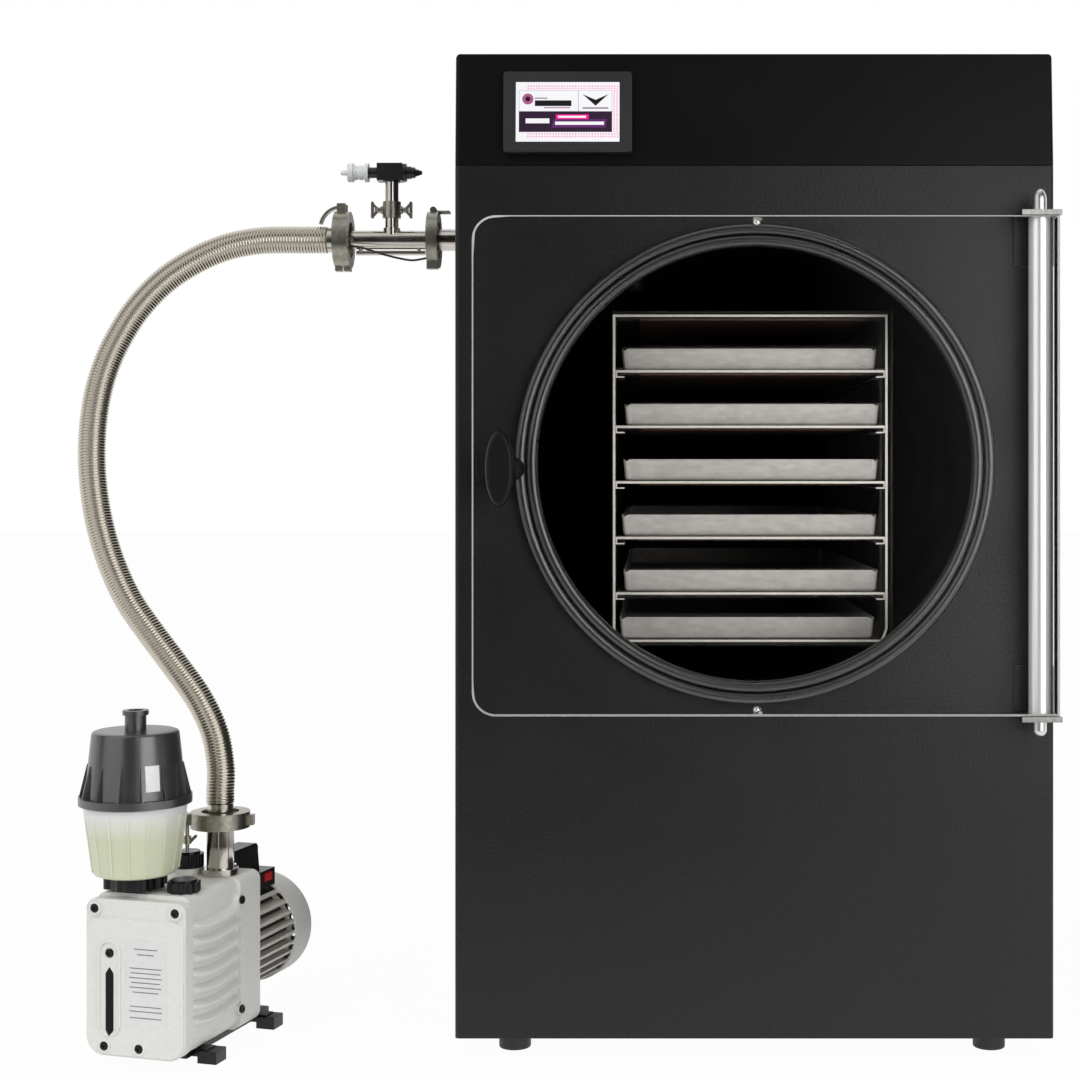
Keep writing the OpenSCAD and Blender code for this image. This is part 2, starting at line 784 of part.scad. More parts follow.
// Shaft through the door with the latch's tongue behind it, which points down and turns to the left
module latch_cam() {
    color("#4a4a4c") at_cabinet() translate([knob_x, 0, knob_z]) {
        rod_y([0, door_front - 11.5, 0], shaft_r - 1, 12);
        rod_y([0, door_front, 0], shaft_r, cam_y + cam_t - door_front);
        front_slab(cam_y, cam_t) {
            circle(cam_hub_r);
            bar([0, 0], [0, -cam_reach + 6], 6);
        }
    }
}

module latch_keeper() {
    h = 20;
    wall = 5;
    lip_y = door_back + 1.3;
    lip_t = cam_y - 0.6 - lip_y;
    x1 = knob_x - cam_reach - 0.5;
    color("#1b1b1c") at_cabinet() translate([0, lip_y, knob_z - h / 2]) {
        translate([x1 - wall, 0, 0]) cube([wall, -lip_y - seat, h]);
        translate([x1 - 1, 0, 0]) cube([cam_reach - cam_hub_r - 1.5, lip_t, h]);
    }
}

// Vacuum line

module flange_profile(pipe, t) {
    polygon([[0, 0], [flange_r, 0], [flange_r, t], [pipe, t + (flange_r - pipe) * tan(15)], [0, t + 3]]);
}

module clamp_profile(w) {
    groove = flange_t + 0.5;
    lip_r = flange_r - 3.5;
    lip = groove + 3.8 * tan(15) + 0.2;
    polygon([
        [clamp_r, -w / 2], [clamp_r, w / 2], [lip_r, w / 2], [lip_r, lip], [flange_r + seam, groove],
        [flange_r + seam, -groove], [lip_r, -lip], [lip_r, -w / 2]
    ]);
}

module vacuum_port() {
    hole = port_r - 1.5;
    low = chamber_z + sqrt(drum_ri * drum_ri - port_drop_x * port_drop_x) - 8;
    reach = port_drop_x - port_x;
    color("#c6c4bd") at_cabinet() translate([0, line_in, 0]) difference() {
        union() {
            rod_x([port_x + 1, 0, line_z], port_r, reach - 1);
            turned_x([port_x + flange_gap, 0, line_z]) flange_profile(port_r, flange_t);
            translate([port_drop_x, 0, line_z]) sphere(port_r + 1.5);
            translate([port_drop_x, 0, low]) cylinder(r = port_r, h = line_z - low);
        }
        rod_x([port_x - e, 0, line_z], hole, reach - 2 * port_r + e);
        translate([port_drop_x, 0, low - e]) cylinder(r = hole - 0.5, h = line_z - low + e);
    }
}

module manifold_tee() {
    l = port_x - hose_joint_x;
    brace_z = line_z - tee_r - 3.2;
    color("#c6c4bd") at_cabinet() translate([0, line_in, 0]) {
        difference() {
            union() {
                rod_x([hose_joint_x + 1, 0, line_z], tee_r, l - 2);
                turned_x([hose_joint_x + flange_gap, 0, line_z]) flange_profile(tee_r, flange_t);
                mirror([1, 0, 0]) turned_x([-port_x + flange_gap, 0, line_z])
                    flange_profile(tee_r, flange_t);
                translate([branch_x, 0, line_z]) cylinder(r = branch_r, h = branch_h);
                translate([branch_x, 0, line_z]) cylinder(r = branch_r + 1.5, h = tee_r + 2);
            }
            rod_x([hose_joint_x - e, 0, line_z], tee_r - 1.5, l + 2 * e);
            translate([branch_x, 0, line_z]) cylinder(r = branch_r - 1.2, h = branch_h + e);
        }
        rod_x([hose_joint_x + 12, 0, brace_z], 2.2, l - 20);
        for (x = [hose_joint_x + 16, port_x - 14]) translate([x, 0, brace_z]) cylinder(r = 1.8, h = 5);
    }
}

module port_clamp() {
    w = 10;
    color("#a9a79f") at_cabinet() translate([port_x, line_in, line_z]) {
        turned_x([0, 0, 0]) clamp_profile(w);
        for (y = [-16, -11]) translate([-w / 2, y, -clamp_r - 2]) cube([w, 4, 9]);
        rod_y([0, -7, clamp_r + 1], 3, 14);
        for (y = [-4, 4]) rod_x([0, y, clamp_r - 0.5], 1.2, 15);
    }
}

module branch_clamp() {
    h = 15;
    color("#a9a79f") at_cabinet() translate([branch_x, line_in, clamp_mid - h / 2]) difference() {
        union() {
            cylinder(r = branch_r + 2.2, h = h);
            translate([-10, 0, h / 2]) rod_x([0, 0, 0], 3.6, 20);
        }
        translate([0, 0, -e]) cylinder(r = branch_r + seat, h = h + 2 * e);
        translate([0, 0, h / 2]) rod_x([-12, 0, 0], 1.8 + run, 24);
    }
}

// Wing screw that points to the right, its tip at the origin
module wing_screw() {
    rod_x([0.4, 0, 0], 1.8, 9);
    rod_x([4.5, 0, 0], 2.6, 3);
    front_slab(-1.5, 3) {
        for (s = [-1, 1]) bar([6, 0], [11, s * 5.5], 1.1);
        bar([11.5, -6.5], [11.5, 6.5], 1.3);
    }
}

module branch_screw_left() {
    color("#8f8c84") at_cabinet() translate([branch_x - branch_r, line_in, clamp_mid]) mirror([1, 0, 0])
        wing_screw();
}

module branch_screw_right() {
    color("#8f8c84") at_cabinet() translate([branch_x + branch_r, line_in, clamp_mid]) wing_screw();
}

module hose_clamp() {
    w = 14;
    ear = bail_w / 2 + seam;
    color("#a9a79f") at_cabinet() translate([hose_joint_x, line_in, line_z]) {
        turned_x([0, 0, 0]) clamp_profile(w);
        for (s = [-1, 1]) translate([-5, s * (ear + 1.5) - 1.5, clamp_r - 2]) cube([8, 3, 9]);
        rod_y([bail_x - hose_joint_x, -ear - 1, bail_z - line_z], bail_pin_r, 2 * ear + 2);
        translate([-w / 2, -5, -clamp_r - 3]) cube([w / 2 - 1, 10, 7]);
        translate([1, -5, -clamp_r - 3]) cube([w / 2 - 1, 10, 7]);
    }
}

module clamp_bail() {
    t = 2.4;
    drop = sqrt(pow(bail_arc_r, 2) - 1);
    color("#a9a79f") at_cabinet() translate([bail_x, line_in, bail_z]) difference() {
        union() {
            rod_y([0, -bail_w / 2, 0], 3, bail_w);
            front_slab(-bail_w / 2, bail_w) translate([0, -bail_arc_r]) intersection() {
                difference() {
                    circle(bail_arc_r + t / 2);
                    circle(bail_arc_r - t / 2);
                }
                translate([-2 * bail_arc_r, 4.2]) square([2 * bail_arc_r, 2 * bail_arc_r]);
            }
        }
        rod_y([0, -bail_w, 0], bail_pin_r + run, 2 * bail_w);
    }
}

module vent_valve() {
    color("#1d1d1f") at_cabinet() translate([branch_x, line_in, valve_z]) {
        translate([-12.8, -8, -8]) cube([23.2, 16, 16]);
        translate([0, 0, branch_top - valve_z + seat]) cylinder(r = branch_r + 1.8, h = 2);
        rod_x([10, 0, 0], 8.4, 3.5);
        rod_x([12, 0, 0], 5.8, 6);
        rod_x([17.5, 0, 0], 5, 4);
        turned_x([21, 0, 0]) polygon([[0, 0], [4, 0], [1.6, 7], [0, 7]]);
        rod_x([-21, 0, 0], 5, 9);
    }
}

module vent_filter() {
    color("#e9e7e0") at_cabinet() translate([branch_x, line_in, valve_z]) turned_x([-47, 0, 0]) {
        polygon([[0, 0], [2.2, 0], [2.8, 7], [0, 7]]);
        translate([0, 6.8]) square([8.6, 5.2]);
        for (k = [0:3]) translate([0, 12 + k * 2.7]) square([6.8 - (k % 2) * 0.6, 2.8]);
        translate([0, 22.5]) square([8.7, 3.4]);
    }
}

module hose_end(l) {
    difference() {
        union() {
            flange_profile(hose_r - 1, flange_t);
            translate([0, 3]) square([hose_r - 1, l - 3]);
        }
        square([hose_r - 2.5, l + e]);
    }
}

module hose_ends() {
    color("#b5b2a8") {
        at_cabinet() mirror([1, 0, 0])
            turned_x([-hose_joint_x + flange_gap, line_in, line_z]) hose_end(stub_l - flange_gap);
        translate([inlet_at.x, inlet_at.y, inlet_joint_z + flange_gap]) rotate_extrude()
            hose_end(stub_l - flange_gap);
    }
}

module bellows_hose() {
    color("#a59f94") tube_along(hose_route, hose_r, 12);
}

module earth_lead() {
    color("#121212") tube_along(lead_route, lead_r, 8);
}

// Pump

module inlet_pipe() {
    h = inlet_joint_z - case_top;
    color("#b5b2a8") at_pump() translate([inlet_x, inlet_y, case_top + seat]) rotate_extrude() difference() {
        union() {
            square([inlet_r, h - seat - 2]);
            square([inlet_r + 4, 6]);
            translate([0, h - seat - flange_gap]) mirror([0, 1]) flange_profile(inlet_r, flange_t);
        }
        translate([0, 4]) square([inlet_r - 1.5, h]);
    }
}

module pump_clamp() {
    w = 14;
    color("#6b675f") translate([inlet_at.x, inlet_at.y, inlet_joint_z]) {
        rotate_extrude() clamp_profile(w);
        translate([-clamp_r - 7, -5, -5]) cube([9, 10, 10]);
        translate([clamp_r - 2, -4, -5]) cube([6, 8, 9]);
        translate([-clamp_r - 3.5, 0, -29]) cylinder(r = 1.8, h = 25);
    }
}

module pump_wing_nut() {
    color("#8f8c84") translate([inlet_at.x - clamp_r - 3.5, inlet_at.y, inlet_joint_z - 22]) difference() {
        union() {
            cylinder(r = 3.6, h = 7);
            for (s = [-1, 1]) front_slab(-1, 2) bar([s * 3, 2], [s * 7.5, 6.5], 1.4);
        }
        translate([0, 0, -e]) cylinder(r = 1.8 + run, h = 12);
    }
}

// One curved rib of the oil case, for the right side: a rounded tooth swept along an S
function rib_drop(t) = -4.6 * sin(180 * pow(t, 0.8)) - 1.6 * t;

module rib(z, l) {
    steps = 12;
    tooth = [[-1.5, -5.6], [2.2, -4.4], [rib_out - 0.6, -1.4], [rib_out, 0.6], [rib_out - 1.8, 2.4], [-1.5, 5.4]];
    n = len(tooth);
    pts = [for (i = [0:steps], q = tooth)
        let (t = i / steps, fade = min(1, 6 * t + 0.45, 6 * (1 - t) + 0.45))
        [q.x > 0 ? q.x * fade : q.x, l * t, z + rib_drop(t) + q.y]];
    walls = [for (i = [0:steps - 1], k = [0:n - 1])
        let (j = (k + 1) % n)
        [i * n + k, i * n + j, (i + 1) * n + j, (i + 1) * n + k]];
    first = [for (k = [n - 1:-1:0]) k];
    last = [for (k = [0:n - 1]) steps * n + k];
    polyhedron(pts, concat(walls, [first, last]), convexity = 6);
}

module oil_box() {
    flare_l = 6;
    color("#dedcd7") at_pump() difference() {
        union() {
            translate([0, 0, case_z]) {
                front_slab(cover_t + seat, case_l - seat) plate(case_w, case_h, 8, 14);
                front_slab(collar_y - flare_l, collar_l + flare_l) plate(collar_w, case_h, 8, 10);
            }
            for (s = [0, 1]) mirror([s, 0, 0]) for (k = [0:rib_count - 1])
                translate([case_w / 2, cover_t + 0.8, 0]) rib(rib_z + k * rib_pitch, case_l - flare_l + 0.2);
            translate([ballast_at.x, ballast_at.y, case_top - 1]) cylinder(r = 12.5, h = 6);
            translate([inlet_x, inlet_y, case_top - 1]) cylinder(r = inlet_r + 6, h = 1);
            for (p = [[collar_y - 8, case_z + 116], [collar_y - 8, case_z + 20]])
                rod_x([case_w / 2 - 1, p.x, p.y], 5.2, 5.5);
        }
        translate([oil_cap_at.x, oil_cap_at.y, case_top - plug_h - 1])
            cylinder(r = plug_r + run, h = plug_h + 1 + e);
        translate([ballast_at.x, ballast_at.y, case_top - 5]) cylinder(r = 5 + run, h = 12);
    }
}

module oil_cover() {
    h = case_h - 3;
    color("#e4e3df") at_pump() translate([0, 0, case_z]) difference() {
        union() {
            front_slab(0, cover_t) plate(collar_w, h, 9, 16);
            front_slab(-1.6, 2) translate([0, 1.5]) plate(collar_w - 3, h - 17.5, 9, 15);
            front_slab(-3, 3) translate([-24, 0]) difference() {
                bar([0, 28], [0, 87.5], 10.8);
                bar([0, 28], [0, 87.5], 8.6);
            }
            for (p = [[-38, 124], [38, 124], [-29, 8.5], [4, 8.5]])
                rod_y([p.x, -2.5, p.y], 6, 3.5);
        }
        for (p = [[-38, 124], [38, 124], [-29, 8.5], [4, 8.5], [-24, 87]])
            rod_y([p.x, -4, p.y], 3.9, 4.5);
        translate([-24, 0, 0]) front_slab(-4, 10) sight_outline(0.2);
    }
}

module sight_outline(grow) {
    hw = 3.5 + grow;
    polygon([
        [0, 17 - grow], [hw, 22], [hw, 70], [0, 75 + grow], [-hw, 70], [-hw, 22]
    ]);
}

module sight_glass() {
    color("#0a0a0a") at_pump() translate([-24, 0, case_z]) front_slab(-2.2, 8) sight_outline(0);
}

module lobed(r, lobes, bump) {
    circle(r);
    for (k = [0:lobes - 1]) rotate(360 * k / lobes) translate([r - bump * 0.35, 0]) circle(bump);
}

module oil_cap() {
    color("#121213") at_pump() translate([oil_cap_at.x, oil_cap_at.y, case_top]) {
        translate([0, 0, seam]) linear_extrude(9) lobed(12.3, 10, 2.6);
        translate([0, 0, 8]) cylinder(r = 11, h = 3);
        translate([0, 0, -plug_h]) cylinder(r = plug_r, h = plug_h + 2);
    }
}

module ballast_knob() {
    color("#232325") at_pump() translate([ballast_at.x, ballast_at.y, case_top + 5]) {
        translate([0, 0, seam]) linear_extrude(12) lobed(12.6, 20, 1.6);
        translate([0, 0, 12]) cylinder(r = 10.5, h = 2.5);
        translate([0, 0, -9]) cylinder(r = 5, h = 11);
    }
}

module motor_housing() {
    core = motor_r - 9;
    fins = 9;
    fin_pitch = 2 * (core - 1) / (fins - 1);
    color("#c9c2b8") at_pump() translate([0, 0, motor_z]) {
        front_slab(motor_y + seat, motor_l - seat) {
            circle(core);
            intersection() {
                circle(motor_r);
                for (k = [0:fins - 1]) translate([-motor_r, (k - (fins - 1) / 2) * fin_pitch - 1.4])
                    square([2 * motor_r, 2.8]);
            }
        }
        rod_y([0, cover_y - e, 0], core + 4, 3);
        rod_y([0, cover_y, 0], motor_shaft_r, 26);
    }
}

module motor_fan() {
    fan_l = 16;
    color("#3a3b3e") at_pump() translate([0, cover_y + 8, motor_z]) difference() {
        union() {
            rod_y([0, 0, 0], 12, fan_l);
            for (a = [0:45:315]) rotate([0, a, 0]) translate([9, 0, -1]) cube([motor_r - 16, fan_l, 2]);
            rod_y([0, 0, 0], motor_r - 8, 2);
        }
        rod_y([0, -e, 0], motor_shaft_r + run, fan_l + 2 * e);
    }
}

module fan_cover() {
    wall = 2;
    r = motor_r + wall + seat;
    nose = 10;
    color("#cfc9c0") at_pump() difference() {
        turned_y([0, cover_y - 2, motor_z]) difference() {
            intersection() {
                rounded(2 * r, 2 * fan_cover_l, nose);
                square([r, fan_cover_l]);
            }
            intersection() {
                rounded(2 * (r - wall), 2 * (fan_cover_l - wall), nose - wall);
                translate([0, -e]) square([r, fan_cover_l]);
            }
            translate([0, -e]) square([r - wall, 2 * e]);
        }
        for (z = [-28:8:28]) let (half = sqrt(pow(r - 14, 2) - z * z))
            translate([-half, cover_y, motor_z + z - 1.8]) cube([2 * half, 2 * fan_cover_l, 3.6]);
    }
}

// Carrying handle and the switch housing behind it, moulded in one
module carry_handle() {
    z = case_top;
    post_y = collar_y + 24;
    grip_end = motor_y + 40;
    box_y = cover_y - 32;
    box_w = 30;
    color("#0e0e0f") at_pump() difference() {
        union() {
            side_slab(handle_x - 9, 18) {
                bar([post_y, z + 9], [grip_end, z + 9], 5.5);
                translate([post_y - 5, z + seat]) square([10, 9]);
                bar([grip_end + 4, motor_z + motor_r + 8], [grip_end, z + 9], 5);
            }
            translate([handle_x - box_w / 2, box_y, motor_z + motor_r - 3]) cube([box_w, 29, 16]);
        }
        translate([handle_x + box_w / 2 - 4.6, switch_y - 8, motor_z + motor_r + 2]) cube([6, 16, 9]);
        translate([0, 0, motor_z]) front_slab(motor_y, motor_l + 20) circle(motor_r + seam);
    }
}

// Rocker switch on the right side of the switch housing; it tilts about its middle
module power_switch() {
    x = handle_x + 11 + seam;
    color("#b3121b") at_pump() translate([x, switch_y, motor_z + motor_r + 6.5]) side_slab(0.6, 3.8)
        translate([-7, -3.8]) square([14, 7.6]);
}

module pump_base() {
    foot = 18;
    foot_x = case_w / 2 + 2;
    beam_w = case_w - 20;
    beam_y = 2 * cover_t;
    beam_l = collar_y + collar_l + 42 - beam_y;
    color("#161617") at_pump() difference() {
        union() {
            translate([-beam_w / 2, beam_y, 7]) cube([beam_w, beam_l, base_h - 7]);
            for (s = [-1, 1], y = [beam_y + 21, beam_y + beam_l - 22]) translate([s * foot_x, y, 0]) {
                translate([-foot / 2, -foot / 2, 0]) cube([foot, foot, base_h - 1]);
                translate([s > 0 ? -22 : 0, -7, 5]) cube([22, 14, base_h - 5]);
            }
            translate([-26, motor_y + 8, base_h - 1]) cube([52, 30, 26]);
        }
        translate([0, 0, motor_z]) front_slab(motor_y, motor_l) circle(motor_r + seat);
        translate([-22, 60, 6]) cube([44, 40, base_h]);
    }
}

// Oil mist filter

module at_filter() {
    at_pump() translate([filter_at.x, filter_at.y, 0]) children();
}

module filter_nut() {
    color("#151516") at_filter() translate([0, 0, nut_z]) {
        cylinder(r = 14.5, h = 5);
        translate([0, 0, 3]) linear_extrude(10.5) lobed(23.5, 8, 5.5);
    }
}

module bowl_profile(grow, wall) {
    low_r = bowl_r - 7.5;
    polygon([
        [0, 0], [low_r - 5, 0], [low_r - 1.5 + grow, 1.5], [low_r + grow, 5],
        [bowl_r + grow, bowl_h], [bowl_r - wall, bowl_h], [low_r - wall, 6],
        [low_r - 5 - wall / 2, wall], [0, wall]
    ]);
}

module filter_bowl() {
    ribs = 16;
    color("#dfe3c9") at_filter() translate([0, 0, bowl_z]) {
        rotate_extrude() bowl_profile(0, filter_wall);
        intersection() {
            rotate_extrude() bowl_profile(0.9, 1.2);
            for (k = [0:ribs / 2 - 1]) rotate(360 * k / ribs) translate([-bowl_r - 2, -0.8, 4])
                cube([2 * bowl_r + 4, 1.6, bowl_h - 12]);
        }
    }
}

module filter_dome() {
    rim_r = bowl_r + 3.8;
    rim_h = 7;
    low_r = bowl_r - 1.3;
    top_r = bowl_r - 7.4;
    gussets = 14;
    color("#4a4a4d") at_filter() translate([0, 0, dome_z]) {
        rotate_extrude() difference() {
            union() {
                square([rim_r, rim_h]);
                polygon([
                    [0, rim_h - 1], [low_r, rim_h - 1], [top_r + 0.4, dome_h - 2.5],
                    [top_r - 0.8, dome_h - 0.8], [top_r - 3, dome_h], [0, dome_h]
                ]);
                square([nozzle_r, dome_h + 15]);
                translate([0, dome_h + 13]) square([nozzle_r + 2, 4]);
            }
            polygon([
                [0, -e], [bowl_r - 2, -e], [low_r - filter_wall, rim_h], [top_r - filter_wall, dome_h - 5],
                [top_r - 8, dome_h - filter_wall], [0, dome_h - filter_wall]
            ]);
            square([nozzle_r - 2.5, dome_h + 30]);
        }
        for (k = [0:gussets - 1]) rotate(360 * k / gussets) front_slab(-1, 2) polygon([
            [low_r - 1.5, rim_h - 1], [rim_r - 0.5, rim_h - 1], [rim_r - 1.5, rim_h + 3],
            [low_r - 2.2, dome_h * 0.55], [low_r - 4.5, dome_h * 0.55]
        ]);
    }
}

cabinet_wrap();
front_panel();
control_fascia();
back_panel();
base_frame();
cabinet_feet();
display_housing();
display_glass();
chamber_drum();
chamber_insulation();
door_gasket();
rack_frame();
shelves();
heater_pads();
tray(1);  // tray_1
tray(2);  // tray_2
tray(3);  // tray_3
tray(4);  // tray_4
tray(5);  // tray_5
tray(6);  // tray_6
compressor();
condenser();
fan_motor();
fan_rotor();
door_glass();
hinge_rod();
hinge_brackets();
door_knob();
latch_cam();
latch_keeper();
vacuum_port();
manifold_tee();
port_clamp();
branch_clamp();
branch_screw_left();
branch_screw_right();
hose_clamp();
clamp_bail();
vent_valve();
vent_filter();
hose_ends();
bellows_hose();
earth_lead();
inlet_pipe();
pump_clamp();
pump_wing_nut();
oil_box();
oil_cover();
sight_glass();
oil_cap();
ballast_knob();
motor_housing();
motor_fan();
fan_cover();
power_switch();
carry_handle();
pump_base();
filter_nut();
filter_bowl();
filter_dome();
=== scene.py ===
"""Looks of a freeze dryer with its vacuum pump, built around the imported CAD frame. Sizes are in metres."""

import math

import bmesh
import bpy
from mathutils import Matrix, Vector


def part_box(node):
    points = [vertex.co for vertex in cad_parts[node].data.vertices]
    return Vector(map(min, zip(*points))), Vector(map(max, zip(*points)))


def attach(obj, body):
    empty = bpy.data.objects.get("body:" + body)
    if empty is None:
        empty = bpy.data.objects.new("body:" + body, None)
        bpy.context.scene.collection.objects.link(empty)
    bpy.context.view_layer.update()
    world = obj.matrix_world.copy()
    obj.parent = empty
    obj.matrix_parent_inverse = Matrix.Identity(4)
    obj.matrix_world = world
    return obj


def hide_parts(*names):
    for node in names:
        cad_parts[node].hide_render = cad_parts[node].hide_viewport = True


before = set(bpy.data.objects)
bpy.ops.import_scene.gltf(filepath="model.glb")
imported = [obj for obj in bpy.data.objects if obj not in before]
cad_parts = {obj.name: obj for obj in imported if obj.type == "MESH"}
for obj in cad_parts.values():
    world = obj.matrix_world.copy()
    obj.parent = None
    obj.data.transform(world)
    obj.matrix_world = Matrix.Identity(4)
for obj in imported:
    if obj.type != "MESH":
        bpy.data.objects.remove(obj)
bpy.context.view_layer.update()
bpy.ops.object.select_all(action="DESELECT")


# ---- Camera
# It stands in front of the door, level with the middle of the chamber, and looks straight at the
# cabinet. The shift frames the pump on the left.
camera_distance = 1.6
camera_height = 0.5
camera_left = 0.0913
cabinet_low, cabinet_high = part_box("cabinet_wrap")
front_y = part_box("front_panel")[0].y
middle_x = (cabinet_low.x + cabinet_high.x) / 2
camera_data = bpy.data.cameras.new("camera")
camera_data.sensor_width = 36
camera_data.lens = 62.2
camera_data.shift_x = -0.1
camera_data.shift_y = -0.0587
camera = bpy.data.objects.new("camera", camera_data)
camera.location = (middle_x - camera_left, front_y - camera_distance, camera_height)
camera.rotation_euler = (math.pi / 2, 0, 0)
bpy.context.scene.collection.objects.link(camera)
bpy.context.scene.camera = camera
bpy.context.scene.view_settings.view_transform = "Standard"


# ---- Bellows hose
# A corrugated stainless tube between the tee on the cabinet and the pump's inlet. It is formed from
# thin-walled tube, so every fold is a full ring.
hose_route = [
    (-0.226, -0.180, 0.718), (-0.246, -0.180, 0.718), (-0.292, -0.180, 0.717), (-0.331, -0.182, 0.707),
    (-0.370, -0.186, 0.684), (-0.398, -0.190, 0.655), (-0.417, -0.194, 0.623), (-0.428, -0.198, 0.594),
    (-0.434, -0.202, 0.564), (-0.436, -0.206, 0.531), (-0.434, -0.210, 0.497), (-0.427, -0.215, 0.460),
    (-0.415, -0.220, 0.424), (-0.398, -0.225, 0.390), (-0.377, -0.229, 0.361), (-0.354, -0.233, 0.332),
    (-0.332, -0.237, 0.303), (-0.317, -0.240, 0.273), (-0.311, -0.242, 0.243), (-0.311, -0.243, 0.220),
    (-0.311, -0.243, 0.211),
]
hose_radius = 0.0125
fold_pitch = 0.0027
fold_depth = 0.0011
fold_heights = (0.0, 0.75, 1.0, 0.75)


def smooth_route(points, step):
    """Points a step apart on one smooth curve through the given points."""
    knots = [Vector(point) for point in points]
    knots = [2 * knots[0] - knots[1]] + knots + [2 * knots[-1] - knots[-2]]
    parts = 40
    fine = []
    for a, b, c, d in zip(knots, knots[1:], knots[2:], knots[3:]):
        for part in range(parts):
            t = part / parts
            fine.append(0.5 * (2 * b + (c - a) * t + (2 * a - 5 * b + 4 * c - d) * t ** 2
                               + (3 * b - a - 3 * c + d) * t ** 3))
    fine.append(knots[-2])
    spaced, left = [fine[0]], step
    for a, b in zip(fine, fine[1:]):
        gap = (b - a).length
        while gap >= left:
            a = a + (b - a) * (left / gap)
            gap -= left
            spaced.append(a.copy())
            left = step
        left -= gap
    return spaced + [fine[-1]]


def tube_mesh(name, centres, radii, sides):
    """A closed tube whose rings have the given centres and radii."""
    bm = bmesh.new()
    rings = []
    side = Vector((0, 1, 0))
    for k, centre in enumerate(centres):
        along = (centres[min(k + 1, len(centres) - 1)] - centres[max(k - 1, 0)]).normalized()
        side = (side - along * side.dot(along)).normalized()
        up = along.cross(side)
        rings.append([bm.verts.new(centre + radii[k] * (math.cos(a) * side + math.sin(a) * up))
                      for a in (math.tau * s / sides for s in range(sides))])
    for ring, after in zip(rings, rings[1:]):
        for s in range(sides):
            n = (s + 1) % sides
            bm.faces.new((ring[s], ring[n], after[n], after[s]))
    bm.faces.new(rings[0][::-1])
    bm.faces.new(rings[-1])
    bmesh.ops.recalc_face_normals(bm, faces=bm.faces)
    mesh = bpy.data.meshes.new(name)
    bm.to_mesh(mesh)
    bm.free()
    for face in mesh.polygons:
        face.use_smooth = len(face.vertices) == 4
    piece = bpy.data.objects.new(name, mesh)
    bpy.context.scene.collection.objects.link(piece)
    return piece


def principled(name, colour, roughness=0.5, metallic=0.0, specular=0.5, ior=1.5):
    """A material with one Principled shader. Returns the material, its node tree and the shader."""
    material = bpy.data.materials.new(name)
    material.use_nodes = True
    tree = material.node_tree
    shader = tree.nodes["Principled BSDF"]
    shader.inputs["Base Color"].default_value = (*colour, 1)
    shader.inputs["Roughness"].default_value = roughness
    shader.inputs["Metallic"].default_value = metallic
    shader.inputs["Specular IOR Level"].default_value = specular
    shader.inputs["IOR"].default_value = ior
    return material, tree, shader


hose_centres = smooth_route(hose_route, fold_pitch / len(fold_heights))
hose_radii = [hose_radius - fold_depth * (1 - fold_heights[k % len(fold_heights)])
              for k in range(len(hose_centres))]
hose = tube_mesh("corrugated_hose", hose_centres, hose_radii, 32)
hose_steel, _, _ = principled("polished hose steel", (0.56, 0.515, 0.43), 0.24, 1.0)
hose.data.materials.append(hose_steel)
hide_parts("bellows_hose")
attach(hose, "cabinet")


# ---- Earth lead
# A thin stranded copper lead with black insulation. It bonds the hose clamp to the port clamp, is
# held under their screws, and sags a little under the tee.
lead_route = [
    (-0.203, -0.192, 0.711), (-0.195, -0.192, 0.710), (-0.185, -0.192, 0.707), (-0.172, -0.192, 0.703),
    (-0.160, -0.192, 0.700), (-0.148, -0.192, 0.698), (-0.139, -0.192, 0.699), (-0.134, -0.192, 0.700),
]
lead_radius = 0.001
lead_centres = smooth_route(lead_route, 2 * lead_radius)
lead = tube_mesh("black_earth_lead", lead_centres, [lead_radius] * len(lead_centres), 12)
lead_rubber, _, _ = principled("black lead insulation", (0.02, 0.02, 0.02), 0.4)
lead.data.materials.append(lead_rubber)
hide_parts("earth_lead")
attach(lead, "cabinet")


# ---- Studio
# A white floor and background, a tall softbox on the left and a lower one on the right, with a dark
# gap between them where the camera stands. Gloss and glass see the white background as well.
def add_node(tree, kind, values=None, **settings):
    """A new shader node of this kind, with its settings and the values of its sockets."""
    node = tree.nodes.new("ShaderNode" + kind)
    for name, value in settings.items():
        setattr(node, name, value)
    for socket, value in (values or {}).items():
        node.inputs[socket].default_value = value
    return node


def wire(tree, *pairs):
    """Joins pairs of an output and an input."""
    for output, socket in pairs:
        tree.links.new(output, socket)


# The camera sees the floor white all over. In gloss and glass it fades to dark in front of the
# cabinet, on the camera's side.
bpy.ops.mesh.primitive_grid_add(x_subdivisions=4, y_subdivisions=4, size=30, location=(0, 0, 0))
floor = bpy.context.object
floor.name = "studio_floor"
floor_white = (0.86, 0.86, 0.86)
floor_dark = (0.02, 0.02, 0.02)
floor_paper, floor_tree, floor_shader = principled("white floor", floor_white, 0.9, 0.0, 0.1)
floor_place = add_node(floor_tree, "TexCoord")
floor_split = add_node(floor_tree, "SeparateXYZ")
floor_fade = add_node(floor_tree, "MapRange", {"From Min": -1.55, "From Max": -0.5})
floor_colour = add_node(floor_tree, "Mix", {"A": (*floor_dark, 1), "B": (*floor_white, 1)}, data_type="RGBA")
floor_glow = add_node(floor_tree, "Emission", {"Color": (1, 1, 1, 1)})
floor_path = add_node(floor_tree, "LightPath")
floor_mirrored = add_node(floor_tree, "Math", operation="MAXIMUM")
floor_beyond = add_node(floor_tree, "Math", operation="MULTIPLY")
floor_shown = add_node(floor_tree, "Math", operation="MAXIMUM")
floor_share = add_node(floor_tree, "Math", {1: 0.965}, operation="MULTIPLY")
floor_mix = add_node(floor_tree, "MixShader")
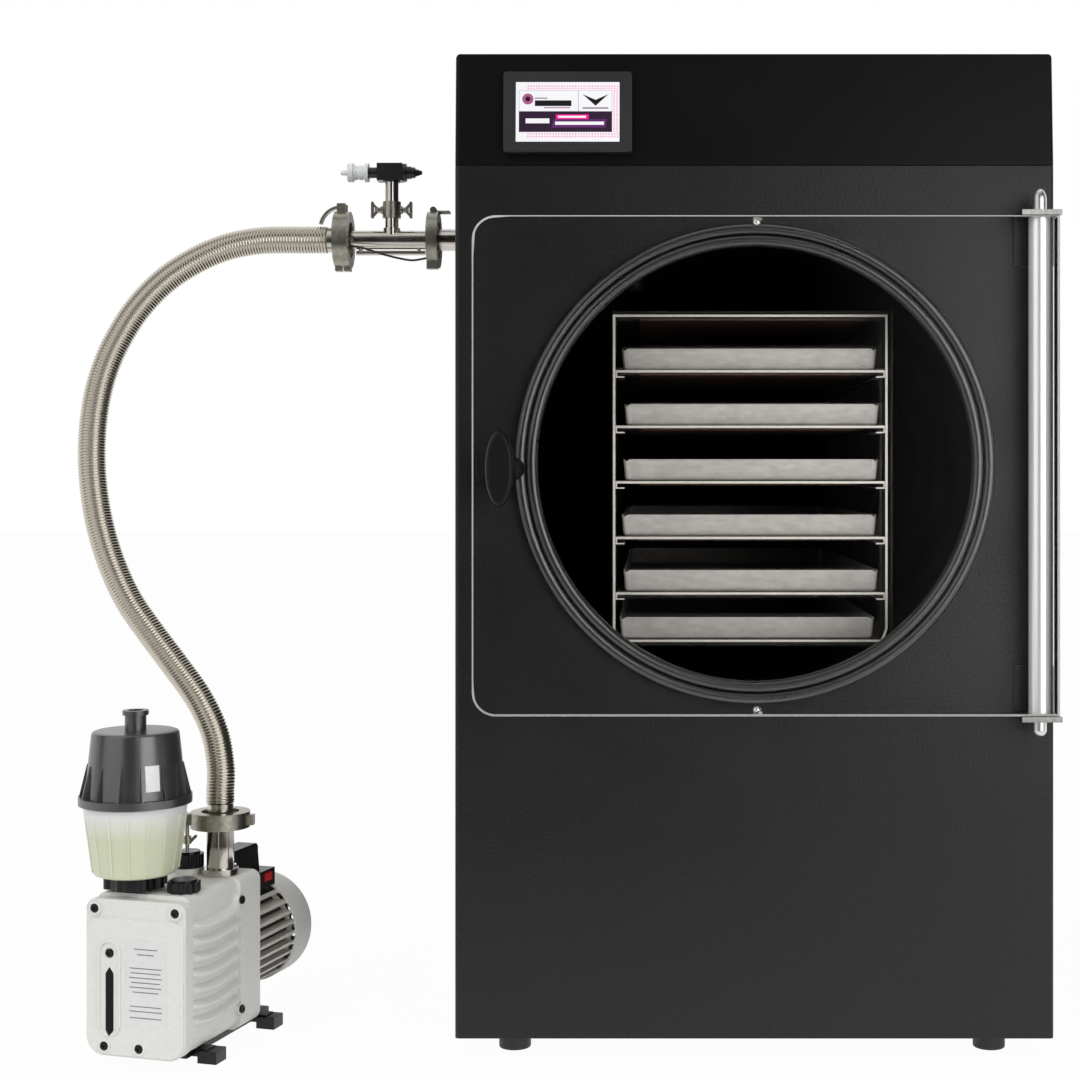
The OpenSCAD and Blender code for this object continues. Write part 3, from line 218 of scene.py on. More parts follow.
wire(floor_tree,
     (floor_place.outputs["Object"], floor_split.inputs[0]),
     (floor_split.outputs["Y"], floor_fade.inputs["Value"]),
     (floor_fade.outputs["Result"], floor_colour.inputs["Factor"]),
     (floor_colour.outputs["Result"], floor_shader.inputs["Base Color"]),
     (floor_path.outputs["Is Glossy Ray"], floor_mirrored.inputs[0]),
     (floor_path.outputs["Is Transmission Ray"], floor_mirrored.inputs[1]),
     (floor_mirrored.outputs[0], floor_beyond.inputs[0]),
     (floor_fade.outputs["Result"], floor_beyond.inputs[1]),
     (floor_path.outputs["Is Camera Ray"], floor_shown.inputs[0]),
     (floor_beyond.outputs[0], floor_shown.inputs[1]),
     (floor_shown.outputs[0], floor_share.inputs[0]),
     (floor_share.outputs[0], floor_mix.inputs["Fac"]),
     (floor_shader.outputs["BSDF"], floor_mix.inputs[1]),
     (floor_glow.outputs["Emission"], floor_mix.inputs[2]),
     (floor_mix.outputs["Shader"], floor_tree.nodes["Material Output"].inputs["Surface"]))
floor.data.materials.append(floor_paper)

# The sky lights the object a soft grey, darker from the camera's side. Gloss and glass see it white
# behind the object and almost black elsewhere.
world = bpy.data.worlds.new("studio")
bpy.context.scene.world = world
world.use_nodes = True
sky = world.node_tree
sky_grey = sky.nodes["Background"]
sky_white = add_node(sky, "Background", {"Color": (1, 1, 1, 1)})
sky_path = add_node(sky, "LightPath")
sky_direction = add_node(sky, "TexCoord")
sky_split = add_node(sky, "SeparateXYZ")
sky_ramp = add_node(sky, "MapRange", {"From Min": -0.6, "From Max": 0.5, "To Min": 0.25, "To Max": 0.85})
sky_dim = add_node(sky, "MapRange", {"To Min": 1, "To Max": 0.04})
sky_behind = add_node(sky, "MapRange", {"From Min": -0.1, "From Max": 0.3})
sky_mirrored = add_node(sky, "Math", operation="MAXIMUM")
sky_beyond = add_node(sky, "Math", operation="MULTIPLY")
sky_shown = add_node(sky, "Math", operation="MAXIMUM")
sky_mix = add_node(sky, "MixShader")
wire(sky,
     (sky_direction.outputs["Generated"], sky_split.inputs[0]),
     (sky_split.outputs["Y"], sky_ramp.inputs["Value"]),
     (sky_ramp.outputs["Result"], sky_grey.inputs["Color"]),
     (sky_path.outputs["Is Glossy Ray"], sky_mirrored.inputs[0]),
     (sky_path.outputs["Is Transmission Ray"], sky_mirrored.inputs[1]),
     (sky_mirrored.outputs[0], sky_dim.inputs["Value"]),
     (sky_dim.outputs["Result"], sky_grey.inputs["Strength"]),
     (sky_split.outputs["Y"], sky_behind.inputs["Value"]),
     (sky_behind.outputs["Result"], sky_beyond.inputs[0]),
     (sky_mirrored.outputs[0], sky_beyond.inputs[1]),
     (sky_beyond.outputs[0], sky_shown.inputs[0]),
     (sky_path.outputs["Is Camera Ray"], sky_shown.inputs[1]),
     (sky_shown.outputs[0], sky_mix.inputs["Fac"]),
     (sky_grey.outputs["Background"], sky_mix.inputs[1]),
     (sky_white.outputs["Background"], sky_mix.inputs[2]),
     (sky_mix.outputs["Shader"], sky.nodes["World Output"].inputs["Surface"]))


def softbox(name, centre, target, width, height, radiance):
    """A square area light of the given size and radiance that faces the target."""
    data = bpy.data.lights.new(name, "AREA")
    data.shape = "RECTANGLE"
    data.size = width
    data.size_y = height
    data.energy = radiance * math.pi * width * height
    lamp = bpy.data.objects.new(name, data)
    lamp.location = centre
    lamp.rotation_euler = (Vector(target) - Vector(centre)).to_track_quat("-Z", "Y").to_euler()
    lamp.visible_camera = False
    bpy.context.scene.collection.objects.link(lamp)
    return lamp


softbox("left_softbox", (-1.75, -1.8, 1.4), (-0.3, -0.2, 0.7), width=2.4, height=2.8, radiance=0.95)
right_softbox = softbox("right_softbox", (1.04, -1.75, 0.7), (0.23, -0.3, 0.5),
                        width=1.6, height=1.35, radiance=2.6)
# The right softbox fades out at its left end, so that what it lights on a gloss has a soft edge.
right_softbox.data.use_nodes = True
edge_fade = right_softbox.data.node_tree
fade_place = add_node(edge_fade, "NewGeometry")
fade_split = add_node(edge_fade, "SeparateXYZ")
fade_span = add_node(edge_fade, "MapRange", {"From Max": 0.22}, interpolation_type="SMOOTHSTEP")
wire(edge_fade,
     (fade_place.outputs["Parametric"], fade_split.inputs[0]),
     (fade_split.outputs["X"], fade_span.inputs["Value"]),
     (fade_span.outputs["Result"], edge_fade.nodes["Emission"].inputs["Strength"]))
softbox("top_softbox", (0.2, -0.8, 2.4), (0, 0, 0.4), width=2.0, height=1.2, radiance=0.9)
front_fill = softbox("front_fill", (-0.9, -2.4, 2.2), (-0.15, -0.3, 0.4), width=1.5, height=1.1, radiance=3.5)
front_fill.visible_glossy = False
front_fill.visible_transmission = False


# ---- Cabinet
# Folded sheet steel with a fine textured powder coat: a wrap round the sides and top, a front panel
# with the chamber's opening, and a back panel. It stands on a plated base frame and rubber feet.
def surface_grain():
    """Node group for the grain of a finish: its colour, its roughness and its height."""
    group = bpy.data.node_groups.new("surface grain", "ShaderNodeTree")
    for name, kind in (("Colour", "Color"), ("Stretch", "Vector"), ("Dark", "Float"), ("Light", "Float"),
                       ("Smooth", "Float"), ("Coarse", "Float")):
        group.interface.new_socket(name, in_out="INPUT", socket_type="NodeSocket" + kind)
    for name, kind in (("Colour", "Color"), ("Roughness", "Float"), ("Height", "Float")):
        group.interface.new_socket(name, in_out="OUTPUT", socket_type="NodeSocket" + kind)
    given = group.nodes.new("NodeGroupInput")
    result = group.nodes.new("NodeGroupOutput")
    place = add_node(group, "TexCoord")
    stretched = add_node(group, "VectorMath", operation="MULTIPLY")
    grain = add_node(group, "TexNoise", {"Scale": 1, "Detail": 3})
    cloud = add_node(group, "TexNoise", {"Scale": 14, "Detail": 3})
    shade = add_node(group, "MapRange", {"From Min": 0.3, "From Max": 0.7})
    polish = add_node(group, "MapRange", {"From Min": 0.3, "From Max": 0.7})
    tint = add_node(group, "Mix", {"Factor": 1}, data_type="RGBA", blend_type="MULTIPLY")
    wire(group,
         (place.outputs["Object"], stretched.inputs[0]),
         (given.outputs["Stretch"], stretched.inputs[1]),
         (stretched.outputs["Vector"], grain.inputs["Vector"]),
         (place.outputs["Object"], cloud.inputs["Vector"]),
         (grain.outputs["Fac"], shade.inputs["Value"]),
         (given.outputs["Dark"], shade.inputs["To Min"]),
         (given.outputs["Light"], shade.inputs["To Max"]),
         (cloud.outputs["Fac"], polish.inputs["Value"]),
         (given.outputs["Smooth"], polish.inputs["To Min"]),
         (given.outputs["Coarse"], polish.inputs["To Max"]),
         (given.outputs["Colour"], tint.inputs["A"]),
         (shade.outputs["Result"], tint.inputs["B"]),
         (tint.outputs["Result"], result.inputs["Colour"]),
         (polish.outputs["Result"], result.inputs["Roughness"]),
         (grain.outputs["Fac"], result.inputs["Height"]))
    return group


grain_group = surface_grain()
relief_depth = 0.0002


def finish(name, colour, grain, spread=(0.9, 1.1), gloss=(0.4, 0.5), metallic=0.0, specular=0.5, bump=0.2,
           ior=1.5):
    """A material whose colour, roughness and relief come from the grain group."""
    material, tree, shader = principled(name, colour, gloss[0], metallic, specular, ior)
    surface = add_node(tree, "Group", node_tree=grain_group, values={
        "Colour": (*colour, 1), "Stretch": grain if isinstance(grain, tuple) else (grain, grain, grain),
        "Dark": spread[0], "Light": spread[1], "Smooth": gloss[0], "Coarse": gloss[1]})
    relief = add_node(tree, "Bump", {"Strength": bump, "Distance": relief_depth})
    wire(tree,
         (surface.outputs["Colour"], shader.inputs["Base Color"]),
         (surface.outputs["Roughness"], shader.inputs["Roughness"]),
         (surface.outputs["Height"], relief.inputs["Height"]),
         (relief.outputs["Normal"], shader.inputs["Normal"]))
    return material


def alone(piece):
    """Makes this piece the only one selected, and the active one."""
    bpy.ops.object.select_all(action="DESELECT")
    piece.select_set(True)
    bpy.context.view_layer.objects.active = piece


def copy_of(piece, name):
    """A copy of a piece with a mesh of its own, selected alone."""
    copy = bpy.data.objects.new(name, piece.data.copy())
    bpy.context.scene.collection.objects.link(copy)
    alone(copy)
    return copy


def worked(piece, name, kind, **settings):
    """Puts a modifier with these settings on the active piece and applies it."""
    modifier = piece.modifiers.new(name, kind)
    for setting, value in settings.items():
        setattr(modifier, setting, value)
    bpy.ops.object.modifier_apply(modifier=modifier.name)


def smoothed(degrees):
    """Shades the active piece smooth, with edges sharper than this left sharp."""
    bpy.ops.object.shade_smooth_by_angle(angle=math.radians(degrees))


def eased(node, body, material, width=0.0005, angle=30, segments=2):
    """A copy of a CAD node with merged corners and eased edges, which stands for that node."""
    piece = copy_of(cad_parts[node], node + "_finished")
    bpy.ops.object.mode_set(mode="EDIT")
    bpy.ops.mesh.select_all(action="SELECT")
    bpy.ops.mesh.customdata_custom_splitnormals_clear()
    bpy.ops.mesh.remove_doubles(threshold=0.00001)
    bpy.ops.mesh.dissolve_limited(angle_limit=math.radians(0.5))
    bpy.ops.object.mode_set(mode="OBJECT")
    if width:
        worked(piece, "eased edges", "BEVEL", width=width, segments=segments, limit_method="ANGLE",
               angle_limit=math.radians(angle))
    smoothed(angle)
    if width:
        worked(piece, "flat faces stay flat", "WEIGHTED_NORMAL", keep_sharp=True)
    piece.data.materials.clear()
    piece.data.materials.append(material)
    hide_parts(node)
    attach(piece, body)
    return piece


panel_coat = finish("textured black powder coat", (0.0045, 0.0045, 0.0048), grain=420, spread=(0.5, 1.6),
                    gloss=(0.38, 0.46), specular=0.42, bump=1.1)
for sheet in ("cabinet_wrap", "front_panel", "back_panel", "latch_keeper"):
    eased(sheet, "cabinet", panel_coat, width=0.0004)
galvanised = finish("galvanised sheet steel", (0.5, 0.51, 0.52), grain=60, spread=(0.8, 1.15),
                    gloss=(0.3, 0.5), metallic=1.0)
eased("base_frame", "cabinet", galvanised, width=0.0003)
foot_rubber = finish("black foot rubber", (0.02, 0.02, 0.02), grain=500, spread=(0.8, 1.2),
                     gloss=(0.45, 0.6), bump=0.3)
eased("cabinet_feet", "cabinet", foot_rubber, width=0.0012)


# ---- Top band and display
# A smooth satin band above the panel leans back a little. A plastic frame stands on it and holds a
# small touch screen, whose picture is only fields of colour and plain shapes.
band_paint = finish("satin black band", (0.0045, 0.0045, 0.0048), grain=900, gloss=(0.32, 0.4),
                    specular=0.12, bump=0.05)
eased("control_fascia", "cabinet", band_paint, width=0.0006)
frame_plastic = finish("dark grey display frame", (0.022, 0.022, 0.024), grain=700, gloss=(0.34, 0.42))
eased("display_housing", "cabinet", frame_plastic, width=0.0005)
eased("display_glass", "cabinet", frame_plastic, width=0.0002)
band_lean = math.radians(4)
screen_size = (0.0894, 0.0524)
screen_rise = 0.0445
screen_face = -0.00756
layer_gap = 0.00002
housing_low, housing_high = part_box("display_housing")
band_foot = Vector(((housing_low.x + housing_high.x) / 2, front_y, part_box("control_fascia")[0].z))
picture_colours = {
    "white": (0.93, 0.93, 0.95), "pink_dots": (1.0, 0.24, 0.6), "outline": (0.3, 0.22, 0.3),
    "dark_purple": (0.024, 0.007, 0.03), "purple": (0.12, 0.02, 0.14), "pink": (1.0, 0.0, 0.32),
    "black": (0.004, 0.004, 0.005), "rose": (0.42, 0.1, 0.27),
}


def lit(name, colour):
    """A colour on the lit screen, a little uneven like its back light."""
    material, tree, shader = principled(name, (0.01, 0.01, 0.01), 0.25, 0.0, 0.3)
    glow = add_node(tree, "Group", node_tree=grain_group, values={
        "Colour": (*colour, 1), "Stretch": (25, 25, 25), "Dark": 0.97, "Light": 1.02})
    wire(tree, (glow.outputs["Colour"], shader.inputs["Emission Color"]))
    shader.inputs["Emission Strength"].default_value = 1
    return material


def on_screen(u, v, layer):
    """A point on the screen, in parts of 1000 of its width and height from its top left."""
    return ((u / 1000 - 0.5) * screen_size[0], screen_face - layer_gap * layer,
            screen_rise + (0.5 - v / 1000) * screen_size[1])


def flat_shape(colour, corners, layer):
    """A flat shape of one colour between four points of the screen."""
    bpy.ops.mesh.primitive_plane_add(size=1)
    shape = bpy.context.object
    for vertex, (u, v) in zip(shape.data.vertices, corners):
        vertex.co = on_screen(u, v, layer)
    shape.data.materials.append(picture_paint[colour])
    return shape


def block(colour, u0, u1, v0, v1, layer, slant=0):
    """A block of one colour; its sides may slant."""
    return flat_shape(colour, [(u0, v1), (u1 - slant, v1), (u0 + slant, v0), (u1, v0)], layer)


def joined(piece, others):
    """Joins the other pieces to this one."""
    alone(piece)
    for other in others:
        other.select_set(True)
    bpy.ops.object.join()


def fixed():
    """Takes the place, turn and scale of what is selected into its mesh."""
    bpy.ops.object.transform_apply(location=True, rotation=True, scale=True)


picture_paint = {name: lit("screen " + name, colour) for name, colour in picture_colours.items()}
shapes = [block("white", 4, 996, 6, 994, 0), block("outline", 33, 925, 145, 835, 1),
          block("white", 36, 600, 149, 490, 2), block("white", 604, 922, 149, 490, 2),
          block("dark_purple", 35, 924, 493, 833, 2), block("pink", 386, 701, 543, 620, 4),
          block("purple", 347, 877, 620, 762, 3, 16), block("white", 98, 326, 610, 690, 4),
          block("white", 380, 848, 662, 716, 5), block("white", 408, 676, 566, 600, 5),
          block("black", 186, 536, 310, 405, 3), block("rose", 272, 524, 424, 440, 3),
          block("outline", 186, 306, 264, 284, 3), block("outline", 643, 890, 424, 450, 3),
          flat_shape("black", [(640, 205), (767, 400), (767, 300), (892, 205)], 3)]
dot_width, dot_height = 12, 24
for row in (60, 100, 856, 898):
    for k in range(33):
        u = 116 + k * 26.75
        shapes.append(block("pink_dots", u, u + dot_width, row, row + dot_height, 1))
for column in (938, 966):
    for k in range(17):
        v = 142 + k * 42
        shapes.append(block("pink_dots", column, column + dot_width, v, v + dot_height, 1))
for colour, radius, layer in (("rose", 0.0048, 4), ("black", 0.0021, 6)):
    bpy.ops.mesh.primitive_circle_add(vertices=40, radius=radius, fill_type="NGON",
                                      rotation=(math.pi / 2, 0, 0), location=on_screen(119, 288, layer))
    disc = bpy.context.object
    disc.data.materials.append(picture_paint[colour])
    shapes.append(disc)
picture = shapes[0]
joined(picture, shapes[1:])
picture.name = "screen_picture"
fixed()
bpy.ops.transform.rotate(value=band_lean, orient_axis="X", center_override=(0, 0, 0))
bpy.ops.transform.translate(value=band_foot)
fixed()
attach(picture, "cabinet")


# ---- Chamber and seal
# A welded drum with a black lining inside, wrapped in foam. A moulded rubber seal with two lobes sits
# on its rim, with an inner lip, an outer skirt and a notch that leaves room for the latch.
lining = finish("black chamber lining", (0.004, 0.004, 0.004), grain=300, spread=(0.8, 1.2),
                gloss=(0.5, 0.6), specular=0.15)
eased("chamber_drum", "cabinet", lining, width=0.0005)
foam = finish("pale insulating foam", (0.62, 0.53, 0.33), grain=160, spread=(0.8, 1.15),
              gloss=(0.85, 0.95), bump=0.8)
eased("chamber_insulation", "cabinet", foam, width=0.001)
seal_rubber = finish("black seal rubber", (0.005, 0.005, 0.0055), grain=420, spread=(0.85, 1.15),
                     gloss=(0.26, 0.34), specular=1.0, bump=0.02, ior=1.58)
seal_low, seal_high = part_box("door_gasket")
seal_outer = (seal_high.x - seal_low.x) / 2
seal_width = 0.0196
seal_inner = seal_outer - seal_width
lobe_radius = 0.005
lobe_depth = -0.008
lobe_steps = 18
rim_depth = -0.0023
rim_width = 0.0063
lip_clearance = 0.0003
lip_outer = seal_outer - rim_width - lip_clearance
lip_thickness = 0.0032
lip_depth = -0.0005
skirt_thickness = 0.003
skirt_depth = 0.0015
lobe_end = math.acos((seal_width / 2 - lobe_radius) / lobe_radius)
section = [(seal_outer, skirt_depth)]
for middle, start, stop in ((seal_outer - lobe_radius, 0, math.pi - lobe_end),
                            (seal_inner + lobe_radius, lobe_end, math.pi)):
    for step in range(lobe_steps + 1):
        bend = start + (stop - start) * step / lobe_steps
        section.append((middle + lobe_radius * math.cos(bend), lobe_depth - lobe_radius * math.sin(bend)))
section += [(seal_inner, rim_depth), (lip_outer - lip_thickness, rim_depth),
            (lip_outer - lip_thickness, lip_depth), (lip_outer, lip_depth), (lip_outer, rim_depth),
            (seal_outer - skirt_thickness, rim_depth), (seal_outer - skirt_thickness, skirt_depth)]
seal_centre = (seal_low + seal_high) / 2
seal_centre.y = seal_high.y - skirt_depth
bpy.ops.mesh.primitive_circle_add(vertices=len(section), radius=seal_width / 2)
seal = bpy.context.object
seal.name = "door_seal"
for vertex, (radius, depth) in zip(seal.data.vertices, section):
    vertex.co = seal_centre + Vector((radius, depth, 0))
bpy.ops.object.mode_set(mode="EDIT")
bpy.ops.mesh.select_all(action="SELECT")
bpy.ops.mesh.spin(steps=180, angle=2 * math.pi, center=seal_centre, axis=(0, 1, 0))
bpy.ops.mesh.select_all(action="SELECT")
bpy.ops.mesh.remove_doubles(threshold=0.00002)
bpy.ops.mesh.normals_make_consistent(inside=False)
bpy.ops.object.mode_set(mode="OBJECT")
knob_axis = Vector((-0.0546, 0, 0.5066))
notch_radius = 0.0105
notch_length = 0.04
notch_reach = 0.03
notch_shift = 0.0077
notch_floor = 0.0044
notch_x = knob_axis.x + notch_shift
notch_y = seal_centre.y - notch_floor - notch_reach / 2
bpy.ops.mesh.primitive_cylinder_add(vertices=48, radius=notch_radius, depth=notch_reach,
                                    rotation=(math.pi / 2, 0, 0), location=(notch_x, notch_y, knob_axis.z))
notch_end = bpy.context.object
bpy.ops.mesh.primitive_cube_add(size=1, location=(notch_x - notch_length / 2, notch_y, knob_axis.z))
notch_side = bpy.context.object
notch_side.scale = (notch_length, notch_reach, 2 * notch_radius)


def cut_by(piece, name, cutter):
    """Cuts one piece out of another and removes it."""
    alone(cutter)
    fixed()
    alone(piece)
    worked(piece, name, "BOOLEAN", operation="DIFFERENCE", object=cutter)
    bpy.data.objects.remove(cutter)


for cutter in (notch_end, notch_side):
    cut_by(seal, "room for the latch", cutter)
smoothed(35)
seal.data.materials.clear()
seal.data.materials.append(seal_rubber)
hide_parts("door_gasket")
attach(seal, "cabinet")


# ---- Rack, shelves and heater pads
# A folded stainless sheet makes the rack's sides, top and floor. Five shelf plates with hemmed ends
# are spot welded between its sides, and brown silicone heater pads are glued under them.
# The rack's one stainless steel comes in two copies: a dark brownish copy is painted shade, and a bright copy
# is a painted highlight.
rack_painted_shade = finish("rack steel with painted shade", (0.05, 0.035, 0.028), grain=(40, 6, 900),
                     spread=(0.7, 1.3), gloss=(0.4, 0.55), metallic=0.8, bump=0.12)
rack_painted_highlight = finish("rack steel with painted highlight", (0.86, 0.82, 0.74), grain=300, spread=(0.9, 1.05),
                    gloss=(0.35, 0.5), metallic=0.35)
for part in ("rack_frame", "shelves"):
    folded = eased(part, "cabinet", rack_painted_shade, width=0.0002)
    folded.data.materials.append(rack_painted_highlight)
    # Faces that face the front take the bright copy, a painted highlight; all other faces keep the dark copy,
    # painted shade.
    for face in folded.data.polygons:
        if face.normal.y <= -0.4:
            face.material_index = 1
silicone = finish("brown heater silicone", (0.09, 0.034, 0.016), grain=260, spread=(0.8, 1.2),
                  gloss=(0.5, 0.6))
eased("heater_pads", "cabinet", silicone, width=0.0002)


# ---- Trays
# Six open trays folded from stainless sheet and loosely pushed in. Their corners are folded flat
# across, so the rim dips there.
tray_metal = finish("matt stainless tray", (0.6, 0.575, 0.535), grain=(90, 90, 260), spread=(0.86, 1.08),
                    gloss=(0.4, 0.54), metallic=0.4)
# A lighter copy of the tray steel is a painted highlight on the corner facets that face the front.
tray_painted_highlight = finish("tray steel with painted highlight", (0.92, 0.9, 0.85), grain=(90, 90, 260), spread=(0.92, 1.05),
                     gloss=(0.3, 0.4), metallic=0.3)
tray_wall = 0.0012
tray_flare = 0.0016
tray_count = 6
corner_fold = 0.0055
corner_dip = 0.0022
bottom_fold = 0.003
tray_low, tray_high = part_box("tray_1")
tray_size = tray_high - tray_low
half_x, half_y = tray_size.x / 2, tray_size.y / 2
at_bottom = 0.001
at_side = 0.0004


def picked(piece, kind, wanted):
    """In edit mode, selects the edges or faces of a piece that are wanted."""
    bpy.ops.mesh.select_mode(type=kind)
    mesh = bmesh.from_edit_mesh(piece.data)
    for part in mesh.edges if kind == "EDGE" else mesh.faces:
        part.select = wanted(part)
    mesh.select_flush_mode()
    bmesh.update_edit_mesh(piece.data)


bpy.ops.mesh.primitive_cube_add(size=1, location=(0, 0, tray_size.z / 2))
tray = bpy.context.object
tray.scale = tray_size
fixed()
bpy.ops.object.mode_set(mode="EDIT")
picked(tray, "EDGE", lambda edge: abs(edge.verts[0].co.z - edge.verts[1].co.z) > at_bottom)
bpy.ops.mesh.bevel(offset=corner_fold, segments=2, affect="EDGES")
for vertex in bmesh.from_edit_mesh(tray.data).verts:
    if vertex.co.z < at_bottom:
        vertex.co.x *= 1 - tray_flare / half_x
        vertex.co.y *= 1 - tray_flare / half_y
    elif abs(vertex.co.x) < half_x - at_side and abs(vertex.co.y) < half_y - at_side:
        vertex.co.z -= corner_dip
picked(tray, "FACE", lambda face: face.normal.z > 0.9)
bpy.ops.mesh.delete(type="ONLY_FACE")
picked(tray, "EDGE", lambda edge: all(vertex.co.z < at_bottom for vertex in edge.verts))
bpy.ops.mesh.bevel(offset=bottom_fold, segments=3, affect="EDGES")
bpy.ops.object.mode_set(mode="OBJECT")
worked(tray, "wall", "SOLIDIFY", thickness=tray_wall, offset=-1)
worked(tray, "folded edges", "BEVEL", width=0.0005, segments=2, limit_method="ANGLE",
       angle_limit=math.radians(25))
smoothed(15)
tray.data.materials.append(tray_metal)
tray.data.materials.append(tray_painted_highlight)
# Corner facets turned partly to the front take the lighter copy: a painted highlight.
for face in tray.data.polygons:
    if 0.25 < abs(face.normal.x) < 0.97 and face.normal.y < -0.2 and abs(face.normal.z) < 0.4:
        face.material_index = 1
for number in range(1, tray_count + 1):
    low_corner, high_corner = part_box("tray_%d" % number)
    copy = copy_of(tray, "tray_%d_sheet" % number)
    bpy.ops.transform.translate(value=((low_corner.x + high_corner.x) / 2, (low_corner.y + high_corner.y) / 2,
                                       low_corner.z))
    fixed()
    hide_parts("tray_%d" % number)
    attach(copy, "cabinet")
bpy.data.objects.remove(tray)


# ---- Cooling unit
# A hermetic compressor in black enamel, a finned condenser and its fan stand on the floor pan behind
# the lower panel.
enamel = finish("black compressor enamel", (0.012, 0.012, 0.013), grain=180, spread=(0.85, 1.15),
                gloss=(0.18, 0.3))
eased("compressor", "cabinet", enamel, width=0.0006)
fin_metal = finish("condenser fins", (0.6, 0.6, 0.6), grain=(20, 20, 400), spread=(0.85, 1.1),
                   gloss=(0.3, 0.45), metallic=1.0)
eased("condenser", "cabinet", fin_metal, width=0)
fan_plastic = finish("dark fan plastic", (0.03, 0.03, 0.033), grain=500, spread=(0.85, 1.15))
eased("fan_motor", "cabinet", fan_plastic, width=0.0003)
eased("fan_rotor", "fan", fan_plastic, width=0.0003)


# ---- Door
# A slab of clear acrylic with rounded left corners, bored for its hinge rod and its knob. Its front
# edges are milled at 45 degrees and stay a little frosted, and a small screw sits in its top and foot.
door_low, door_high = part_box("door_glass")
door_front = door_low.y
# The slab is nearly all plain see-through, so that only a faint gloss lies over the black chamber.
bare_share = 0.96
clear_acrylic, acrylic_tree, acrylic_shader = principled("clear acrylic", (0.97, 0.98, 0.98), 0.015, ior=1.49)
acrylic_shader.inputs["Transmission Weight"].default_value = 1
acrylic_place = add_node(acrylic_tree, "TexCoord")
acrylic_haze = add_node(acrylic_tree, "TexNoise", {"Scale": 9})
acrylic_gloss = add_node(acrylic_tree, "MapRange", {"To Min": 0.006, "To Max": 0.03})
acrylic_path = add_node(acrylic_tree, "LightPath")
acrylic_soft = add_node(acrylic_tree, "Math", operation="MAXIMUM")
acrylic_bare = add_node(acrylic_tree, "Math", {1: bare_share}, operation="MAXIMUM")
acrylic_clear = add_node(acrylic_tree, "BsdfTransparent")
acrylic_mix = add_node(acrylic_tree, "MixShader")
wire(acrylic_tree,
     (acrylic_place.outputs["Object"], acrylic_haze.inputs["Vector"]),
     (acrylic_haze.outputs["Fac"], acrylic_gloss.inputs["Value"]),
     (acrylic_gloss.outputs["Result"], acrylic_shader.inputs["Roughness"]),
     (acrylic_path.outputs["Is Shadow Ray"], acrylic_soft.inputs[0]),
     (acrylic_path.outputs["Is Diffuse Ray"], acrylic_soft.inputs[1]),
     (acrylic_soft.outputs[0], acrylic_bare.inputs[0]),
     (acrylic_bare.outputs[0], acrylic_mix.inputs["Fac"]),
     (acrylic_shader.outputs["BSDF"], acrylic_mix.inputs[1]),
     (acrylic_clear.outputs["BSDF"], acrylic_mix.inputs[2]),
     (acrylic_mix.outputs["Shader"], acrylic_tree.nodes["Material Output"].inputs["Surface"]))
milled_edge = finish("frosted milled acrylic", (0.5, 0.5, 0.49), grain=500, spread=(0.85, 1.1),
                     gloss=(0.5, 0.6))
# The clear slab's right edge, round the hinge, is painted near black: painted shade.
door_edge_painted_shade = finish("acrylic edge with painted shade", (0.03, 0.031, 0.032), grain=300, spread=(0.8, 1.2),
                    gloss=(0.2, 0.3))
chamfer = 0.0021
door = eased("door_glass", "door", clear_acrylic, width=0)
door.data.materials.append(milled_edge)
door.data.materials.append(door_edge_painted_shade)


def front_rim(edge):
    """Whether an edge of the slab runs round its front face, and not round the knob's hole."""
    in_front = all(vertex.co.y < door_front + 0.0001 for vertex in edge.verts)
    at_knob = all(math.hypot(vertex.co.x - knob_axis.x, vertex.co.z - knob_axis.z) < 0.02
                  for vertex in edge.verts)
    return in_front and not at_knob and min(abs(face.normal.y) for face in edge.link_faces) < 0.5


alone(door)
bpy.ops.object.mode_set(mode="EDIT")
picked(door, "EDGE", front_rim)
bpy.ops.mesh.bevel(offset=chamfer, segments=1, affect="EDGES", material=1)
bpy.ops.object.mode_set(mode="OBJECT")
# Faces turned to the right, mostly the slab's hinge edge, take the painted shade.
for face in door.data.polygons:
    if face.normal.x > 0.95:
        face.material_index = 2
smoothed(28)
nickel = finish("bright nickel screw", (0.85, 0.84, 0.8), grain=300, gloss=(0.16, 0.26), metallic=1.0)
screw_inset = 0.0055
head_radius = 0.0034
head_depth = 0.0045
nut_radius = 0.0046
nut_height = 0.0022
nut_depth = 0.005
nut_rise = 0.0026
for end, z, outwards in (("top", door_high.z - screw_inset, 1), ("bottom", door_low.z + screw_inset, -1)):
    bpy.ops.mesh.primitive_uv_sphere_add(segments=24, ring_count=12, radius=head_radius,
                                         location=(middle_x, door_front + head_depth, z))
    head = bpy.context.object
    head.name = "door_screw_" + end
    head.scale = (1.1, 1, 0.9)
    fixed()
    bpy.ops.mesh.primitive_cylinder_add(vertices=6, radius=nut_radius, depth=nut_height, rotation=(0, 0, 0.3),
                                        location=(middle_x, door_front + nut_depth, z + nut_rise * outwards))
    nut = bpy.context.object
    fixed()
    joined(head, [nut])
    smoothed(30)
    head.data.materials.append(nickel)
    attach(head, "door")


